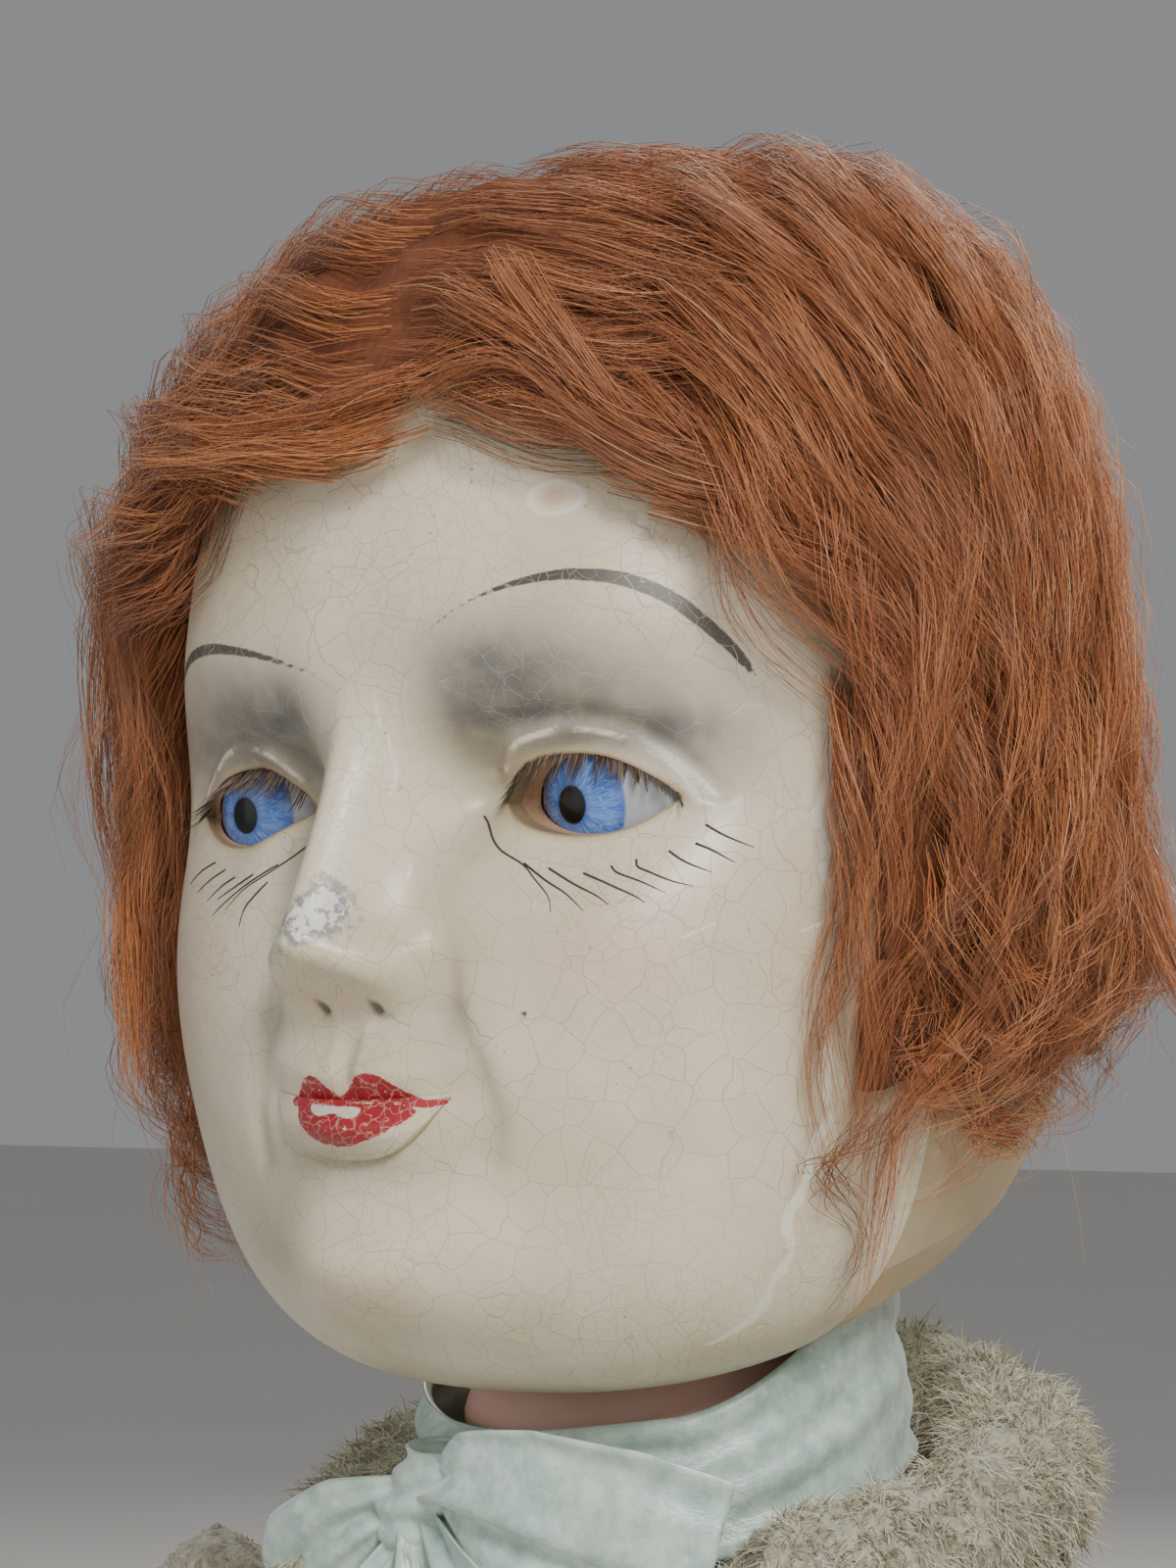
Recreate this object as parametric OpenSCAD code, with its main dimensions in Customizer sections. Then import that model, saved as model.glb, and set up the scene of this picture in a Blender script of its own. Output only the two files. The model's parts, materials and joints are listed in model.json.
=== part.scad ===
/* [Head] */
// Width of the head across the cheeks
head_w = 153; // [142:1:160]
// Distance from the eye line down to the bottom of the chin
chin_d = 106; // [98:1:112]
// Distance from the eye line up to the crown of the skull
crown_h = 106; // [96:1:114]
// Wall thickness of the moulded head
shell_t = 4; // [3:0.5:5]
// Height of the eye line above the floor when seated
eye_line_h = 428; // [410:1:440]

/* [Eyes] */
// Radius of each glass eye
eye_r = 17.5; // [16:0.5:18]
// Distance of each eye from the middle of the face
eye_x = 35.5; // [34:0.5:37]
// Radius of the coloured iris
iris_r = 9.2; // [8:0.1:9.8]
// Sideways glance of both eyes at rest, in degrees, minus towards the figure's right
gaze = -9; // [-14:1:14]

/* [Neck and control stick] */
// Forward lean of the neck in degrees
neck_tilt = 8; // [5:1:10]
// Radius of the neck under the ribbon
neck_r = 37; // [34:1:39]
// Radius of the wooden control stick
stick_r = 8; // [7:0.5:9]
// Running gap between the stick and its bore
run_gap = 0.05; // [0.03:0.01:0.08]
// Height of the ribbon round the neck
ribbon_h = 22; // [16:1:26]

/* [Torso] */
// Half width of the chest
chest_w = 84; // [78:1:88]
// Wall thickness of the torso shell
torso_t = 4; // [3:0.5:5]
// Thickness of the coat's plush
coat_t = 6.5; // [5:0.5:8]
// Width of the hand opening in the back
hand_w = 96; // [84:1:104]
// Height of the hand opening in the back
hand_h = 116; // [100:1:124]

/* [Arms] */
// Shoulder to elbow
upper_arm_l = 130; // [120:1:140]
// Elbow to wrist
forearm_l = 112; // [104:1:120]
// Slope of the resting forearm below level
forearm_drop = 21; // [15:1:30]

/* [Legs] */
// Hip to knee
thigh_l = 180; // [170:1:190]
// Knee to ankle
shin_l = 170; // [160:1:180]
// Distance of each leg from the middle
leg_x = 45; // [42:1:48]

/* [Shown] */
// Which sub-part is drawn

/* [Hidden] */
$fn = 48;
head_front = 84;
head_back = 66;
eye_y = -50;
eye_z = -1;
gaze_dip = 5;            // the glance drops by this many degrees
iris_seat = 13.8;        // depth of the iris recess's floor from the eye's middle
body_y = 179.95;         // puts the middle of the whole figure over the origin
head_y = 0;
arm_x = 110;
shoulder_z = 268;
elbow_z = shoulder_z - upper_arm_l;
arm_y = 4;
hip_y = -62;
hip_z = 34;
knee_y = hip_y - thigh_l;
ankle_y = knee_y - shin_l;
lip_pivot = [-50, -62];  // y and z of the lip axle in the head
nod_up = 28.275;         // nod pin above the neck's datum, along the neck
neck_datum = -98;        // where the neck meets the jaw, below the eye line
nod_pivot = [2 - nod_up * sin(neck_tilt), neck_datum + nod_up * cos(neck_tilt)];
shoulder_top = 290;      // the neck and the collar sit on this level

// ---------------------------------------------------------------- small helpers
function lim(v) = max(0, min(1, v));
function ramp(a, b, v) = let(t = lim((v - a) / (b - a))) t * t * (3 - 2 * t);
function bump(x, z, cx, cz, sx, sz) = exp(-pow((x - cx) / sx, 2) - pow((z - cz) / sz, 2));
function mix(a, b, t) = a + (b - a) * t;
function soft_max(a, b, k) = let(h = lim(0.5 + 0.5 * (a - b) / k)) mix(b, a, h) + k * h * (1 - h);

// ---------------------------------------------------------------- the head's surface
// Every skin of the head comes from one rule: a rounded box of a skull, with the features
// of the face pushed forwards from it.
function skull_r(d) =
  let(up = d[2] > 0, p = up ? 2.75 : 3.55, c = up ? crown_h : chin_d,
      b = d[1] < 0 ? head_front : head_back,
      h = pow(pow(abs(d[0]) / (head_w / 2), 2.33) + pow(abs(d[1]) / b, 2.33), 1 / 2.33))
  1 / pow(pow(h, p) + pow(abs(d[2]) / c, p), 1 / p);

function nose_h(z) =
  z > -24 ? 17.8 * pow(lim((22 - z) / 46), 1.35) : 17.8 * (1 - ramp(-25, -38, z));
function nose_w(z) = mix(9.5, 5.5, lim((z + 26) / 34));

function features(x, z, lip) =
  let(ax = abs(x))
  nose_h(z) * exp(-pow(ax / nose_w(z), 2) * 1.1)
  + 6 * bump(ax, z, 9.5, -29, 5, 5.5)
  + 3.2 * bump(ax, z, 0, -50, 22, 13)
  + 2.4 * bump(ax, z, 6, -46, 9, 3.2)
  + 15.5 * bump(ax, z, 0, -80, 24, 14)
  + 3.4 * bump(ax, z, 46, -32, 20, 22)
  + 1.8 * bump(ax, z, 30, 24, 22, 9)
  - 11.8 * bump(ax, z, 37, 0, 17, 13)
  - 11 * bump(ax, z, 17, -1, 8, 10)
  - 1.2 * bump(ax, z, 0, -64, 16, 4)
  - 1.6 * bump(ax, z, 19.5, -49, 4, 4)
  + (lip ? 4.4 * bump(ax, z, 0, -55.5, 14, 4.2) : 0);

// forwardness of the lids where they wrap the glass eye
function lid_f(x, z) =
  let(q = pow(eye_r + 1.8, 2) - pow(abs(x) - eye_x, 2) - pow(z - eye_z, 2))
  q > 0 ? -eye_y + sqrt(q) : 0;

function head_pt(az, el, inset, lip) =
  let(d = [sin(az) * cos(el), -cos(az) * cos(el), sin(el)],
      q = d * (skull_r(d) - inset),
      w = ramp(4, -26, q[1]),
      f = -q[1] + w * features(q[0], q[2], lip),
      f2 = q[1] < -20 && abs(q[2]) < 24 ? soft_max(f, lid_f(q[0], q[2]) - inset * 0.2, 2.5) : f,
      z = q[2] < 0 ? q[2] * (1 - 0.26 * ramp(-60, 70, -f2)) : q[2])
  [q[0], -f2, z];

// a closed skin of the head: n_a points round it, n_e up it, closer together over the face
module head_skin(n_a, n_e, inset = 0, lip = false, dense = 34) {
  pts = concat(
    [[0, 0, head_pt(0, -89.9, inset, lip)[2]]],
    [for (j = [1:n_e - 1], i = [0:n_a - 1])
      let(t = 360 * i / n_a, u = -90 + 180 * j / n_e)
      head_pt(t - dense * sin(t), u + 4 * sin(2 * u), inset, lip)],
    [[0, 0, crown_h - inset]]);
  top = (n_e - 1) * n_a + 1;
  faces = concat(
    [for (i = [0:n_a - 1]) [0, 1 + i, 1 + (i + 1) % n_a]],
    [for (j = [0:n_e - 3], i = [0:n_a - 1])
      let(a = 1 + j * n_a + i, b = 1 + j * n_a + (i + 1) % n_a)
      each [[a, a + n_a, b + n_a], [a, b + n_a, b]]],
    [for (i = [0:n_a - 1]) [top, top - n_a + (i + 1) % n_a, top - n_a + i]]);
  polyhedron(pts, faces, convexity = 8);
}

// outline of an eye opening, in x and z
function lid_curve(t, up) =
  let(x = mix(20.6, 51.2, (t + 1) / 2),
      z = up ? -2.2 + 7.6 * pow(1 - pow(abs(t + 0.12 * (1 - t * t)), 2.3), 0.85)
             : -2.2 - 5.8 * (1 - pow(abs(t - 0.05 * (1 - t * t)), 2.2)))
  [x, z];
module eye_hole(s) {
  pts = concat([for (i = [-12:12]) lid_curve(i / 12, true)],
               [for (i = [11:-1:-11]) lid_curve(i / 12, false)]);
  scale([s, 1, 1]) rotate([90, 0, 0]) translate([0, 0, 40]) linear_extrude(60) polygon(pts);
}
module eye_clear() for (s = [-1, 1]) translate([s * eye_x, eye_y, eye_z]) sphere(r = eye_r + 0.45, $fn = 40);

// the mouth slot stays behind the lower lip when the lip is up
module mouth_slot() rotate([90, 0, 0]) translate([0, 0, 50]) linear_extrude(60)
  polygon([[-15, -51.8], [-12, -55.5], [-6, -59.7], [6, -59.7], [12, -55.5], [15, -51.8]]);

module neck_hole() in_neck() translate([0, 0, -60]) cylinder(r = 40.5, h = 94);

module head_wall(n_a, n_e, in_a, in_e) {
  difference() {
    head_skin(n_a, n_e);
    head_skin(in_a, in_e, shell_t);
    eye_clear();
    for (s = [-1, 1]) eye_hole(s);
    mouth_slot();
    neck_hole();
  }
}

// ---------------------------------------------------------------- placing
module seated() translate([0, body_y, 0]) children();
module in_head() translate([0, head_y, eye_line_h]) children();
module in_neck() translate([0, 2, neck_datum]) rotate([neck_tilt, 0, 0]) children();
module on_neck() in_head() in_neck() children();
module side(s) translate([s * arm_x, arm_y, shoulder_z]) children();
module x_rod(r, l) rotate([0, 90, 0]) cylinder(r = r, h = l, center = true);
module along_fore() rotate([forearm_drop + 90, 0, 0]) children();

// ---------------------------------------------------------------- head parts
module face_shell() color([0.93, 0.88, 0.74]) seated() in_head()
  resize([head_w, 0, 0]) intersection() {
    head_wall(74, 56, 40, 28);
    translate([-100, -122, -130]) cube([200, 100, 260]);
  }

module skull_shell() color([0.80, 0.72, 0.58]) seated() in_head()
  resize([head_w, 0, 0]) intersection() {
    head_wall(36, 26, 28, 20);
    translate([-100, -21.9, -130]) cube([200, 140, 260]);
  }

// soft hair as one closed cap with a face opening, standing off the skull
function wig_pt(az, el) =
  let(a = abs(az > 180 ? az - 360 : az), p = head_pt(az, el, 0, false),
      side_full = ramp(35, 80, a) * (1 - 0.35 * ramp(120, 180, a)),
      low = ramp(10, -70, p[2]),
      k = 1 + (8 + 17 * side_full * (0.45 + 0.55 * low)) / norm(p))
  [p[0] * k, p[1] * k, p[2] > 0 ? p[2] * (1 + 13 / norm(p)) : p[2] * 0.98];
module wig_skin(n_a, n_e) {
  lo = -64;
  pts = concat(
    [[0, 10, -82]],
    [for (j = [0:n_e - 1], i = [0:n_a - 1]) wig_pt(360 * i / n_a, lo + (90 - lo) * j / n_e)],
    [[0, 0, crown_h + 13]]);
  top = n_e * n_a + 1;
  faces = concat(
    [for (i = [0:n_a - 1]) [0, 1 + i, 1 + (i + 1) % n_a]],
    [for (j = [0:n_e - 2], i = [0:n_a - 1])
      let(a = 1 + j * n_a + i, b = 1 + j * n_a + (i + 1) % n_a)
      each [[a, a + n_a, b + n_a], [a, b + n_a, b]]],
    [for (i = [0:n_a - 1]) [top, top - n_a + (i + 1) % n_a, top - n_a + i]]);
  polyhedron(pts, faces, convexity = 6);
}
module wig() color([0.62, 0.36, 0.18]) seated() in_head()
  resize([0, 0, 0]) difference() {
    wig_skin(32, 18);
    head_skin(32, 22, -2.8, false, 10);
    // the face stays open from the parting down
    rotate([90, 0, 0]) translate([0, 0, 22]) linear_extrude(120)
      polygon([[0, 86], [22, 80], [46, 66], [64, 40], [71, 0], [71, -40], [62, -110],
               [-62, -110], [-71, -40], [-71, 0], [-64, 40], [-46, 66], [-22, 80]]);
    in_neck() translate([0, 0, -60]) cylinder(r = 52, h = 64);
  }

module lash(s, t) {
  p = lid_curve(t, true);
  translate([s * p[0], -73.4 + 0.16 * abs(p[0] - eye_x), p[1] - 0.3])
    rotate([-40, s * -38 * t, 0]) translate([0, 0, -8]) cylinder(r = 0.3, h = 8, $fn = 16);
}
module upper_lashes() color([0.24, 0.18, 0.14]) seated() in_head()
  for (s = [-1, 1]) for (t = [-0.75:0.25:0.75]) lash(s, t);

// shelf glued across the inside of the head, with two ears down to the nod pin
module cross_board() color([0.72, 0.56, 0.36]) seated() in_head() difference() {
  union() {
    translate([-58, -32, -34]) cube([116, 62, 6]);
    for (s = [-1, 1]) translate([s * 22.5, 0, 0]) {
      translate([-2.5, nod_pivot[0] - 8, nod_pivot[1]]) cube([5, 16, -32 - nod_pivot[1]]);
      translate([0, nod_pivot[0], nod_pivot[1]]) x_rod(8, 5);
    }
  }
  translate([0, nod_pivot[0], nod_pivot[1]]) x_rod(2.5 + run_gap, 80);
  translate([0, -4, -40]) cylinder(r = 12, h = 20);
}

module eye_frame() color([0.70, 0.54, 0.34]) seated() in_head() difference() {
  union() {
    for (z = [19.5, -26.5]) translate([-45, eye_y - 5, z]) cube([90, 10, 4]);
    translate([-6, eye_y - 4, -26.5]) cube([12, 8, 50]);
    translate([-6, eye_y, -27.9]) cube([12, 24, 5.4]);
  }
  for (s = [-1, 1]) translate([s * eye_x, eye_y, -30]) cylinder(r = 1.5 + run_gap, h = 60);
}

module glance() rotate([gaze_dip, 0, gaze]) rotate([90, 0, 0]) children();
module eyeball(s) translate([s * eye_x, eye_y, eye_z]) difference() {
  sphere(r = eye_r);
  glance() translate([0, 0, iris_seat]) cylinder(r = iris_r, h = 6);
  rotate([-90, 0, 0]) translate([0, 0, 6]) cylinder(r = 9, h = 20);
  translate([0, 0, -20]) cylinder(r = 1.5, h = 40);
  translate([-1.5, 0, -1.5]) cube([3, 24, 3]);
}
module iris(s) translate([s * eye_x, eye_y, eye_z]) intersection() {
  sphere(r = eye_r);
  glance() translate([0, 0, iris_seat + 0.05]) cylinder(r = iris_r - 0.05, h = 6);
}
// brass axle with a crank that reaches back to the tie bar
module eye_arm(s) translate([s * eye_x, eye_y, eye_z]) {
  translate([0, 0, -27]) cylinder(r = 1.5, h = 53);
  translate([-1.5, 0, -1.5]) cube([3, 24, 3]);
  translate([0, 24, -1.5]) cylinder(r = 1.5, h = 9);
}
module eyeball_l() color([0.95, 0.94, 0.90]) seated() in_head() eyeball(1);
module eyeball_r() color([0.95, 0.94, 0.90]) seated() in_head() eyeball(-1);
module iris_l() color([0.20, 0.45, 0.65]) seated() in_head() iris(1);
module iris_r_ins() color([0.20, 0.45, 0.65]) seated() in_head() iris(-1);
module eye_arm_l() color([0.75, 0.62, 0.30]) seated() in_head() eye_arm(1);
module eye_arm_r() color([0.75, 0.62, 0.30]) seated() in_head() eye_arm(-1);

// links the two cranks, so both eyes look the same way
module eye_tie_bar() color([0.75, 0.62, 0.30]) seated() in_head()
  translate([0, eye_y + 24, eye_z + 3]) difference() {
    translate([-43, -5, 0]) cube([86, 10, 2.5]);
    for (s = [-1, 1]) translate([s * eye_x, 0, -1]) hull() {
      translate([0, -2.2, 0]) cylinder(r = 1.7, h = 5, $fn = 32);
      translate([0, 1, 0]) cylinder(r = 1.7, h = 5, $fn = 32);
    }
  }

module lip_outline() polygon([
  for (i = [-8:8]) let(t = i / 8) [t * 18.5, -50.6 + 1.1 * t * t],
  for (i = [7:-1:-7]) let(t = i / 8) [t * 18.5, -60.6 + 11 * pow(abs(t), 2.6)]]);
module lower_lip() color([0.66, 0.16, 0.14]) seated() in_head() resize([0, 0, 0]) difference() {
  intersection() {
    head_skin(100, 80, 0, true);
    rotate([90, 0, 0]) translate([0, 0, 64]) linear_extrude(50) lip_outline();
  }
  head_skin(74, 56, -0.35);
}
module lip_arm() color([0.75, 0.62, 0.30]) seated() in_head() {
  translate([-4, -86.6, -54.3]) cube([8, 12, 2.2]);
  translate([-3, -76, -54.3]) cube([6, 29, 2.2]);
  translate([-3, lip_pivot[0] - 3, lip_pivot[1] - 2]) cube([6, 6, 9.5]);
  translate([-3, lip_pivot[0], lip_pivot[1] - 1.5]) cube([6, 19, 3]);
  translate([0, lip_pivot[0], lip_pivot[1]]) x_rod(1.5, 42);
}
module lip_bracket() color([0.70, 0.54, 0.34]) seated() in_head() difference() {
  for (s = [-1, 1]) translate([s * 17 - 2, -77, lip_pivot[1] - 4]) cube([4, 32, 8]);
  translate([0, lip_pivot[0], lip_pivot[1]]) x_rod(1.5 + run_gap, 60);
}
module lip_spring() color([0.6, 0.6, 0.62]) seated() in_head()
  translate([0, lip_pivot[0] + 16, lip_pivot[1] + 1.6]) {
    for (i = [0:6]) translate([0, 0, 0.7 + i * 4.08]) rotate_extrude() translate([3, 0]) circle(r = 0.7, $fn = 24);
    translate([3, 0, 0]) cylinder(r = 0.6, h = 26.3, $fn = 16);
  }

// ---------------------------------------------------------------- neck, ribbon, stick
module neck() color([0.88, 0.66, 0.58]) seated() difference() {
  on_neck() union() {
    translate([0, 0, -44]) cylinder(r1 = 50, r2 = neck_r, h = 12);
    translate([0, 0, -32]) cylinder(r = neck_r, h = 24);
    translate([0, 0, -8]) cylinder(r1 = neck_r, r2 = 30, h = 16);
    translate([0, 0, 8]) cylinder(r1 = 30, r2 = 14, h = 5);
  }
  on_neck() translate([0, 0, -60]) cylinder(r = stick_r + run_gap, h = 90);
  translate([-120, -120, 200]) cube([240, 240, shoulder_top + 0.2 - 200]);
}
module ribbon_band() color([0.78, 0.88, 0.82]) seated() on_neck() rotate_extrude()
  translate([neck_r + 0.1, -5 - ribbon_h]) polygon([
    [0, 0], [3.4, 0.6], [5, 3], [4.4, 7], [5.4, 11], [4.6, 15.5], [5.2, 19], [3.6, 21.6], [0, 22]]);
// the bow sits forward of the collar, clear of the coat
module loop(a, l, w) rotate([0, a, 0]) hull() {
  translate([6, 0, 0]) scale([1, 0.8, 1]) sphere(r = 5, $fn = 12);
  translate([l, -4, 0]) scale([0.7, 0.7, 1]) sphere(r = w, $fn = 14);
}
module tail(x, y, z) hull() {
  translate([x * 0.15, -1, -3]) sphere(r = 2.4, $fn = 12);
  translate([x, y, z]) scale([2.7, 0.7, 1]) sphere(r = 4, $fn = 12);
}
module ribbon_bow() color([0.78, 0.88, 0.82]) seated() on_neck() resize([0, 0, 0])
  rotate([0, 0, -16]) translate([0, -neck_r - 10.5, -18]) union() {
    sphere(r = 5.4, $fn = 20);
    translate([0, -1, 0]) loop(9, 40, 11);
    translate([0, -1, 0]) loop(170, 22, 9);
    tail(14, -18, -22);
    tail(-12, -16, -20);
  }

module control_stick() color([0.66, 0.47, 0.28]) seated() on_neck() difference() {
  translate([0, 0, -205]) cylinder(r = stick_r, h = 241);
  translate([0, 0, nod_up]) x_rod(2.5, 40);
  translate([0, 0, -140]) x_rod(2.05, 40);
  translate([0, 0, -112]) rotate([90, 0, 0]) cylinder(r = 2.05, h = 40, center = true);
}
module nod_pin() color([0.75, 0.75, 0.78]) seated() on_neck() translate([0, 0, nod_up]) x_rod(2.5, 54);
module stick_collar() color([0.45, 0.45, 0.47]) seated() on_neck() translate([0, 0, -58]) difference() {
  cylinder(r = 14, h = 9);
  translate([0, 0, -1]) cylinder(r = stick_r, h = 12);
}
module stick_grip() color([0.35, 0.22, 0.14]) seated() on_neck() translate([0, 0, -205]) difference() {
  union() {
    cylinder(r = 13, h = 44);
    translate([0, 0, 44]) cylinder(r1 = 13, r2 = 10, h = 5);
  }
  translate([0, 0, -1]) cylinder(r = stick_r, h = 60);
}
// finger lever in front of the stick, on a cross pin
module mouth_trigger() color([0.75, 0.62, 0.30]) seated() on_neck() translate([0, 0, -140]) {
  x_rod(2, 26);
  for (s = [-1, 1]) translate([s * 10.3 - 1.5, -24, -4]) cube([3, 30, 8]);
  translate([-11.8, -27, -4]) cube([23.6, 3, 8]);
  translate([0, -26, 0]) x_rod(4.2, 23.6);
}
// thumb lever behind the stick, rocking left and right
module eye_lever() color([0.75, 0.62, 0.30]) seated() on_neck() translate([0, 0, -112]) {
  rotate([90, 0, 0]) cylinder(r = 2, h = 26, center = true);
  translate([-4, 9.5, -20]) cube([8, 3, 24]);
  translate([0, 13, -20]) rotate([90, 0, 0]) cylinder(r = 7, h = 4, center = true);
}

// ---------------------------------------------------------------- torso
SECT = [[8, 80, 54, 6], [44, 82, 58, 6], [112, 70, 52, 6], [190, 80, 56, 5], [244, 84, 54, 5],
        [276, 76, 47, 6], [290, 60, 40, 7]];
function sec(i) = SECT[max(0, min(len(SECT) - 1, i))];
function curve(a, b, c, d, t) =
  0.5 * (2 * b + (c - a) * t + (2 * a - 5 * b + 4 * c - d) * t * t + (3 * b - a - 3 * c + d) * t * t * t);
function sect_at(u) = let(i = min(floor(u), len(SECT) - 2)) curve(sec(i - 1), sec(i), sec(i + 1), sec(i + 2), u - i);
// one closed skin through the torso's sections a to b, offset by g and run on by e past each end
module loft(g, a, b, e = 0) {
  n = 32;
  m = 3 * (b - a);
  wide = chest_w / 84;
  pts = [for (j = [0:m]) let(s = sect_at(a + (b - a) * j / m), dz = j == 0 ? -e : j == m ? e : 0)
    for (i = [0:n - 1]) [(s[1] * wide + g) * sin(360 * i / n), s[3] - (s[2] + g) * cos(360 * i / n), s[0] + dz]];
  faces = concat(
    [[for (i = [0:n - 1]) i]],
    [for (j = [0:m - 1], i = [0:n - 1]) let(p = j * n + i, q = j * n + (i + 1) % n)
      each [[p, p + n, q + n], [p, q + n, q]]],
    [[for (i = [n - 1:-1:0]) m * n + i]]);
  polyhedron(pts, faces, convexity = 4);
}
module hand_slot(g) translate([0, 40, 106 + hand_h / 2]) rotate([-90, 0, 0]) linear_extrude(60)
  offset(r = 14) square([hand_w - 28 + 2 * g, hand_h - 28 + 2 * g], center = true);
module torso_skin() difference() {
  loft(0, 0, 6);
  loft(-torso_t, 0, 6, 1);
  hand_slot(0);
  translate([0, arm_y, shoulder_z]) x_rod(3.1, 260);
}
module torso_front() color([0.72, 0.66, 0.54]) seated() resize([0, 0, 0]) intersection() {
  torso_skin();
  translate([-120, -94, 8]) cube([240, 100, 290]);
}
module torso_back() color([0.72, 0.66, 0.54]) seated() resize([0, 0, 0]) intersection() {
  torso_skin();
  translate([-120, 6.1, 8]) cube([240, 100, 290]);
}
module shoulder_board() color([0.72, 0.56, 0.36]) seated() difference() {
  translate([0, 7, 278]) scale([52, 32, 1]) cylinder(r = 1, h = 12);
  on_neck() translate([0, 0, -90]) cylinder(r = 15, h = 70);
}
module seat_board() color([0.72, 0.56, 0.36]) seated() difference() {
  translate([-66, -47, 0]) cube([132, 104, 7.9]);
  for (s = [-1, 1]) translate([s * 66, 57, -1]) rotate([0, 0, 45]) cube([20, 20, 20], center = true);
}
module hip_ears() color([0.66, 0.50, 0.32]) seated() for (s = [-1, 1]) translate([s * leg_x, 0, 0]) {
  for (e = [-1, 1]) translate([e * 8.4, 0, 0]) difference() {
    union() {
      translate([-3, hip_y, 8]) cube([6, 14.9, 38]);
      translate([-3, hip_y - 12, 22]) cube([6, 13, 24]);
      translate([0, hip_y, hip_z]) x_rod(12, 6);
    }
    translate([0, hip_y, hip_z]) x_rod(3, 20);
  }
  translate([0, hip_y, hip_z]) x_rod(3, 24);
}
module shoulder_pins() color([0.6, 0.6, 0.62]) seated() for (s = [-1, 1])
  translate([s * 95, arm_y, shoulder_z]) x_rod(3, 46);

// ---------------------------------------------------------------- clothes
module coat_body() color([0.90, 0.84, 0.70]) seated() resize([0, 0, 0]) difference() {
  intersection() {
    loft(coat_t + 0.5, 1, 6);
    translate([-140, -140, 62]) cube([280, 280, 240]);
  }
  loft(0.5, 0, 6, 1);
  hand_slot(4);
  for (s = [-1, 1]) translate([s * 95, arm_y, shoulder_z]) x_rod(5, 46);
}
module coat_collar() color([0.92, 0.87, 0.75]) seated() difference() {
  on_neck() translate([0, 3, -30]) rotate([5, 0, 0]) rotate_extrude() translate([60, 0]) circle(r = 13, $fn = 32);
  // open at the front, where the lapels part
  translate([-47, -100, 240]) cube([94, 72, 120]);
  translate([-120, -120, 200]) cube([240, 240, shoulder_top + 0.3 - 200]);
}
module coat_buttons() color([0.30, 0.20, 0.14]) seated() for (b = [[90, 55.3], [140, 55.3], [190, 58.5]])
  translate([0, -b[1], b[0]]) rotate([90, 0, 0]) cylinder(r = 9, h = 5);
module trouser_seat() color([0.90, 0.84, 0.70]) seated() resize([0, 0, 0]) difference() {
  loft(5, 0, 2);
  loft(0.4, 0, 2, 1);
  translate([-140, -140, 60]) cube([280, 280, 100]);
  for (s = [-1, 1]) translate([s * leg_x - 17, -90, 0]) cube([34, 60, 51]);
}

// ---------------------------------------------------------------- arms
module upper_arm_core(s) side(s) difference() {
  union() {
    x_rod(13, 14);
    translate([0, 0, -upper_arm_l + 18]) cylinder(r = 13, h = upper_arm_l - 18);
    for (e = [-1, 1]) translate([e * 8.2 - 2.5, -8, -upper_arm_l]) cube([5, 16, 22]);
    for (e = [-1, 1]) translate([e * 8.2, 0, -upper_arm_l]) x_rod(8, 5);
  }
  x_rod(3 + run_gap, 40);
  translate([0, 0, -upper_arm_l]) x_rod(2.5 + run_gap, 60);
  translate([-5.7, -30, -upper_arm_l - 12]) cube([11.4, 60, 30]);
}
module sleeve_upper(s) side(s) difference() {
  union() {
    sphere(r = 18.6);
    translate([0, 0, -upper_arm_l + 24]) cylinder(r = 18.6, h = upper_arm_l - 24);
  }
  translate([0, 0, -200]) cylinder(r = 13.2, h = 200);
  x_rod(13.2, 14.4);
  x_rod(4, 80);
}
module forearm_core(s) side(s) translate([0, 0, -upper_arm_l]) along_fore() difference() {
  union() {
    x_rod(8, 10);
    translate([-5, -8, 0]) cube([10, 16, 24]);
    translate([0, 0, 20]) cylinder(r1 = 13, r2 = 10, h = forearm_l - 22);
    x_rod(2.5, 20);
  }
}
module sleeve_fore(s) side(s) translate([0, 0, -upper_arm_l]) along_fore() difference() {
  union() {
    translate([0, 0, 24]) cylinder(r = 18, h = forearm_l - 36);
    translate([0, 0, forearm_l - 22]) cylinder(r = 20.5, h = 12);
  }
  translate([0, 0, 10]) cylinder(r = 13.2, h = forearm_l);
}
module finger(a, b, r) hull() { translate(a) sphere(r = r, $fn = 10); translate(b) sphere(r = r * 0.85, $fn = 10); }
module hand(s) side(s) translate([0, 0, -upper_arm_l]) along_fore() translate([0, 0, forearm_l - 2])
  scale([s, -1, 1]) resize([0, 0, 0]) union() {
    cylinder(r = 10, h = 8, $fn = 20);
    hull() { translate([0, 0, 4]) sphere(r = 10, $fn = 14); translate([-9, 1, 34]) sphere(r = 7, $fn = 12);
             translate([10, 1, 32]) sphere(r = 6.5, $fn = 12); }
    for (i = [0:3]) {
      x = -10.5 + 7 * i;
      l = i == 0 ? 20 : i == 3 ? 16 : 23;
      finger([x, 0.5, 36], [x * 1.1, 3.5, 36 + l * 0.55], 4.4);
      finger([x * 1.1, 3.5, 36 + l * 0.55], [x * 1.12, 8.5, 36 + l], 3.9);
    }
    finger([-9, 3, 12], [-19, 7, 26], 5);
    finger([-19, 7, 26], [-20, 10, 38], 4.2);
  }

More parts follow.
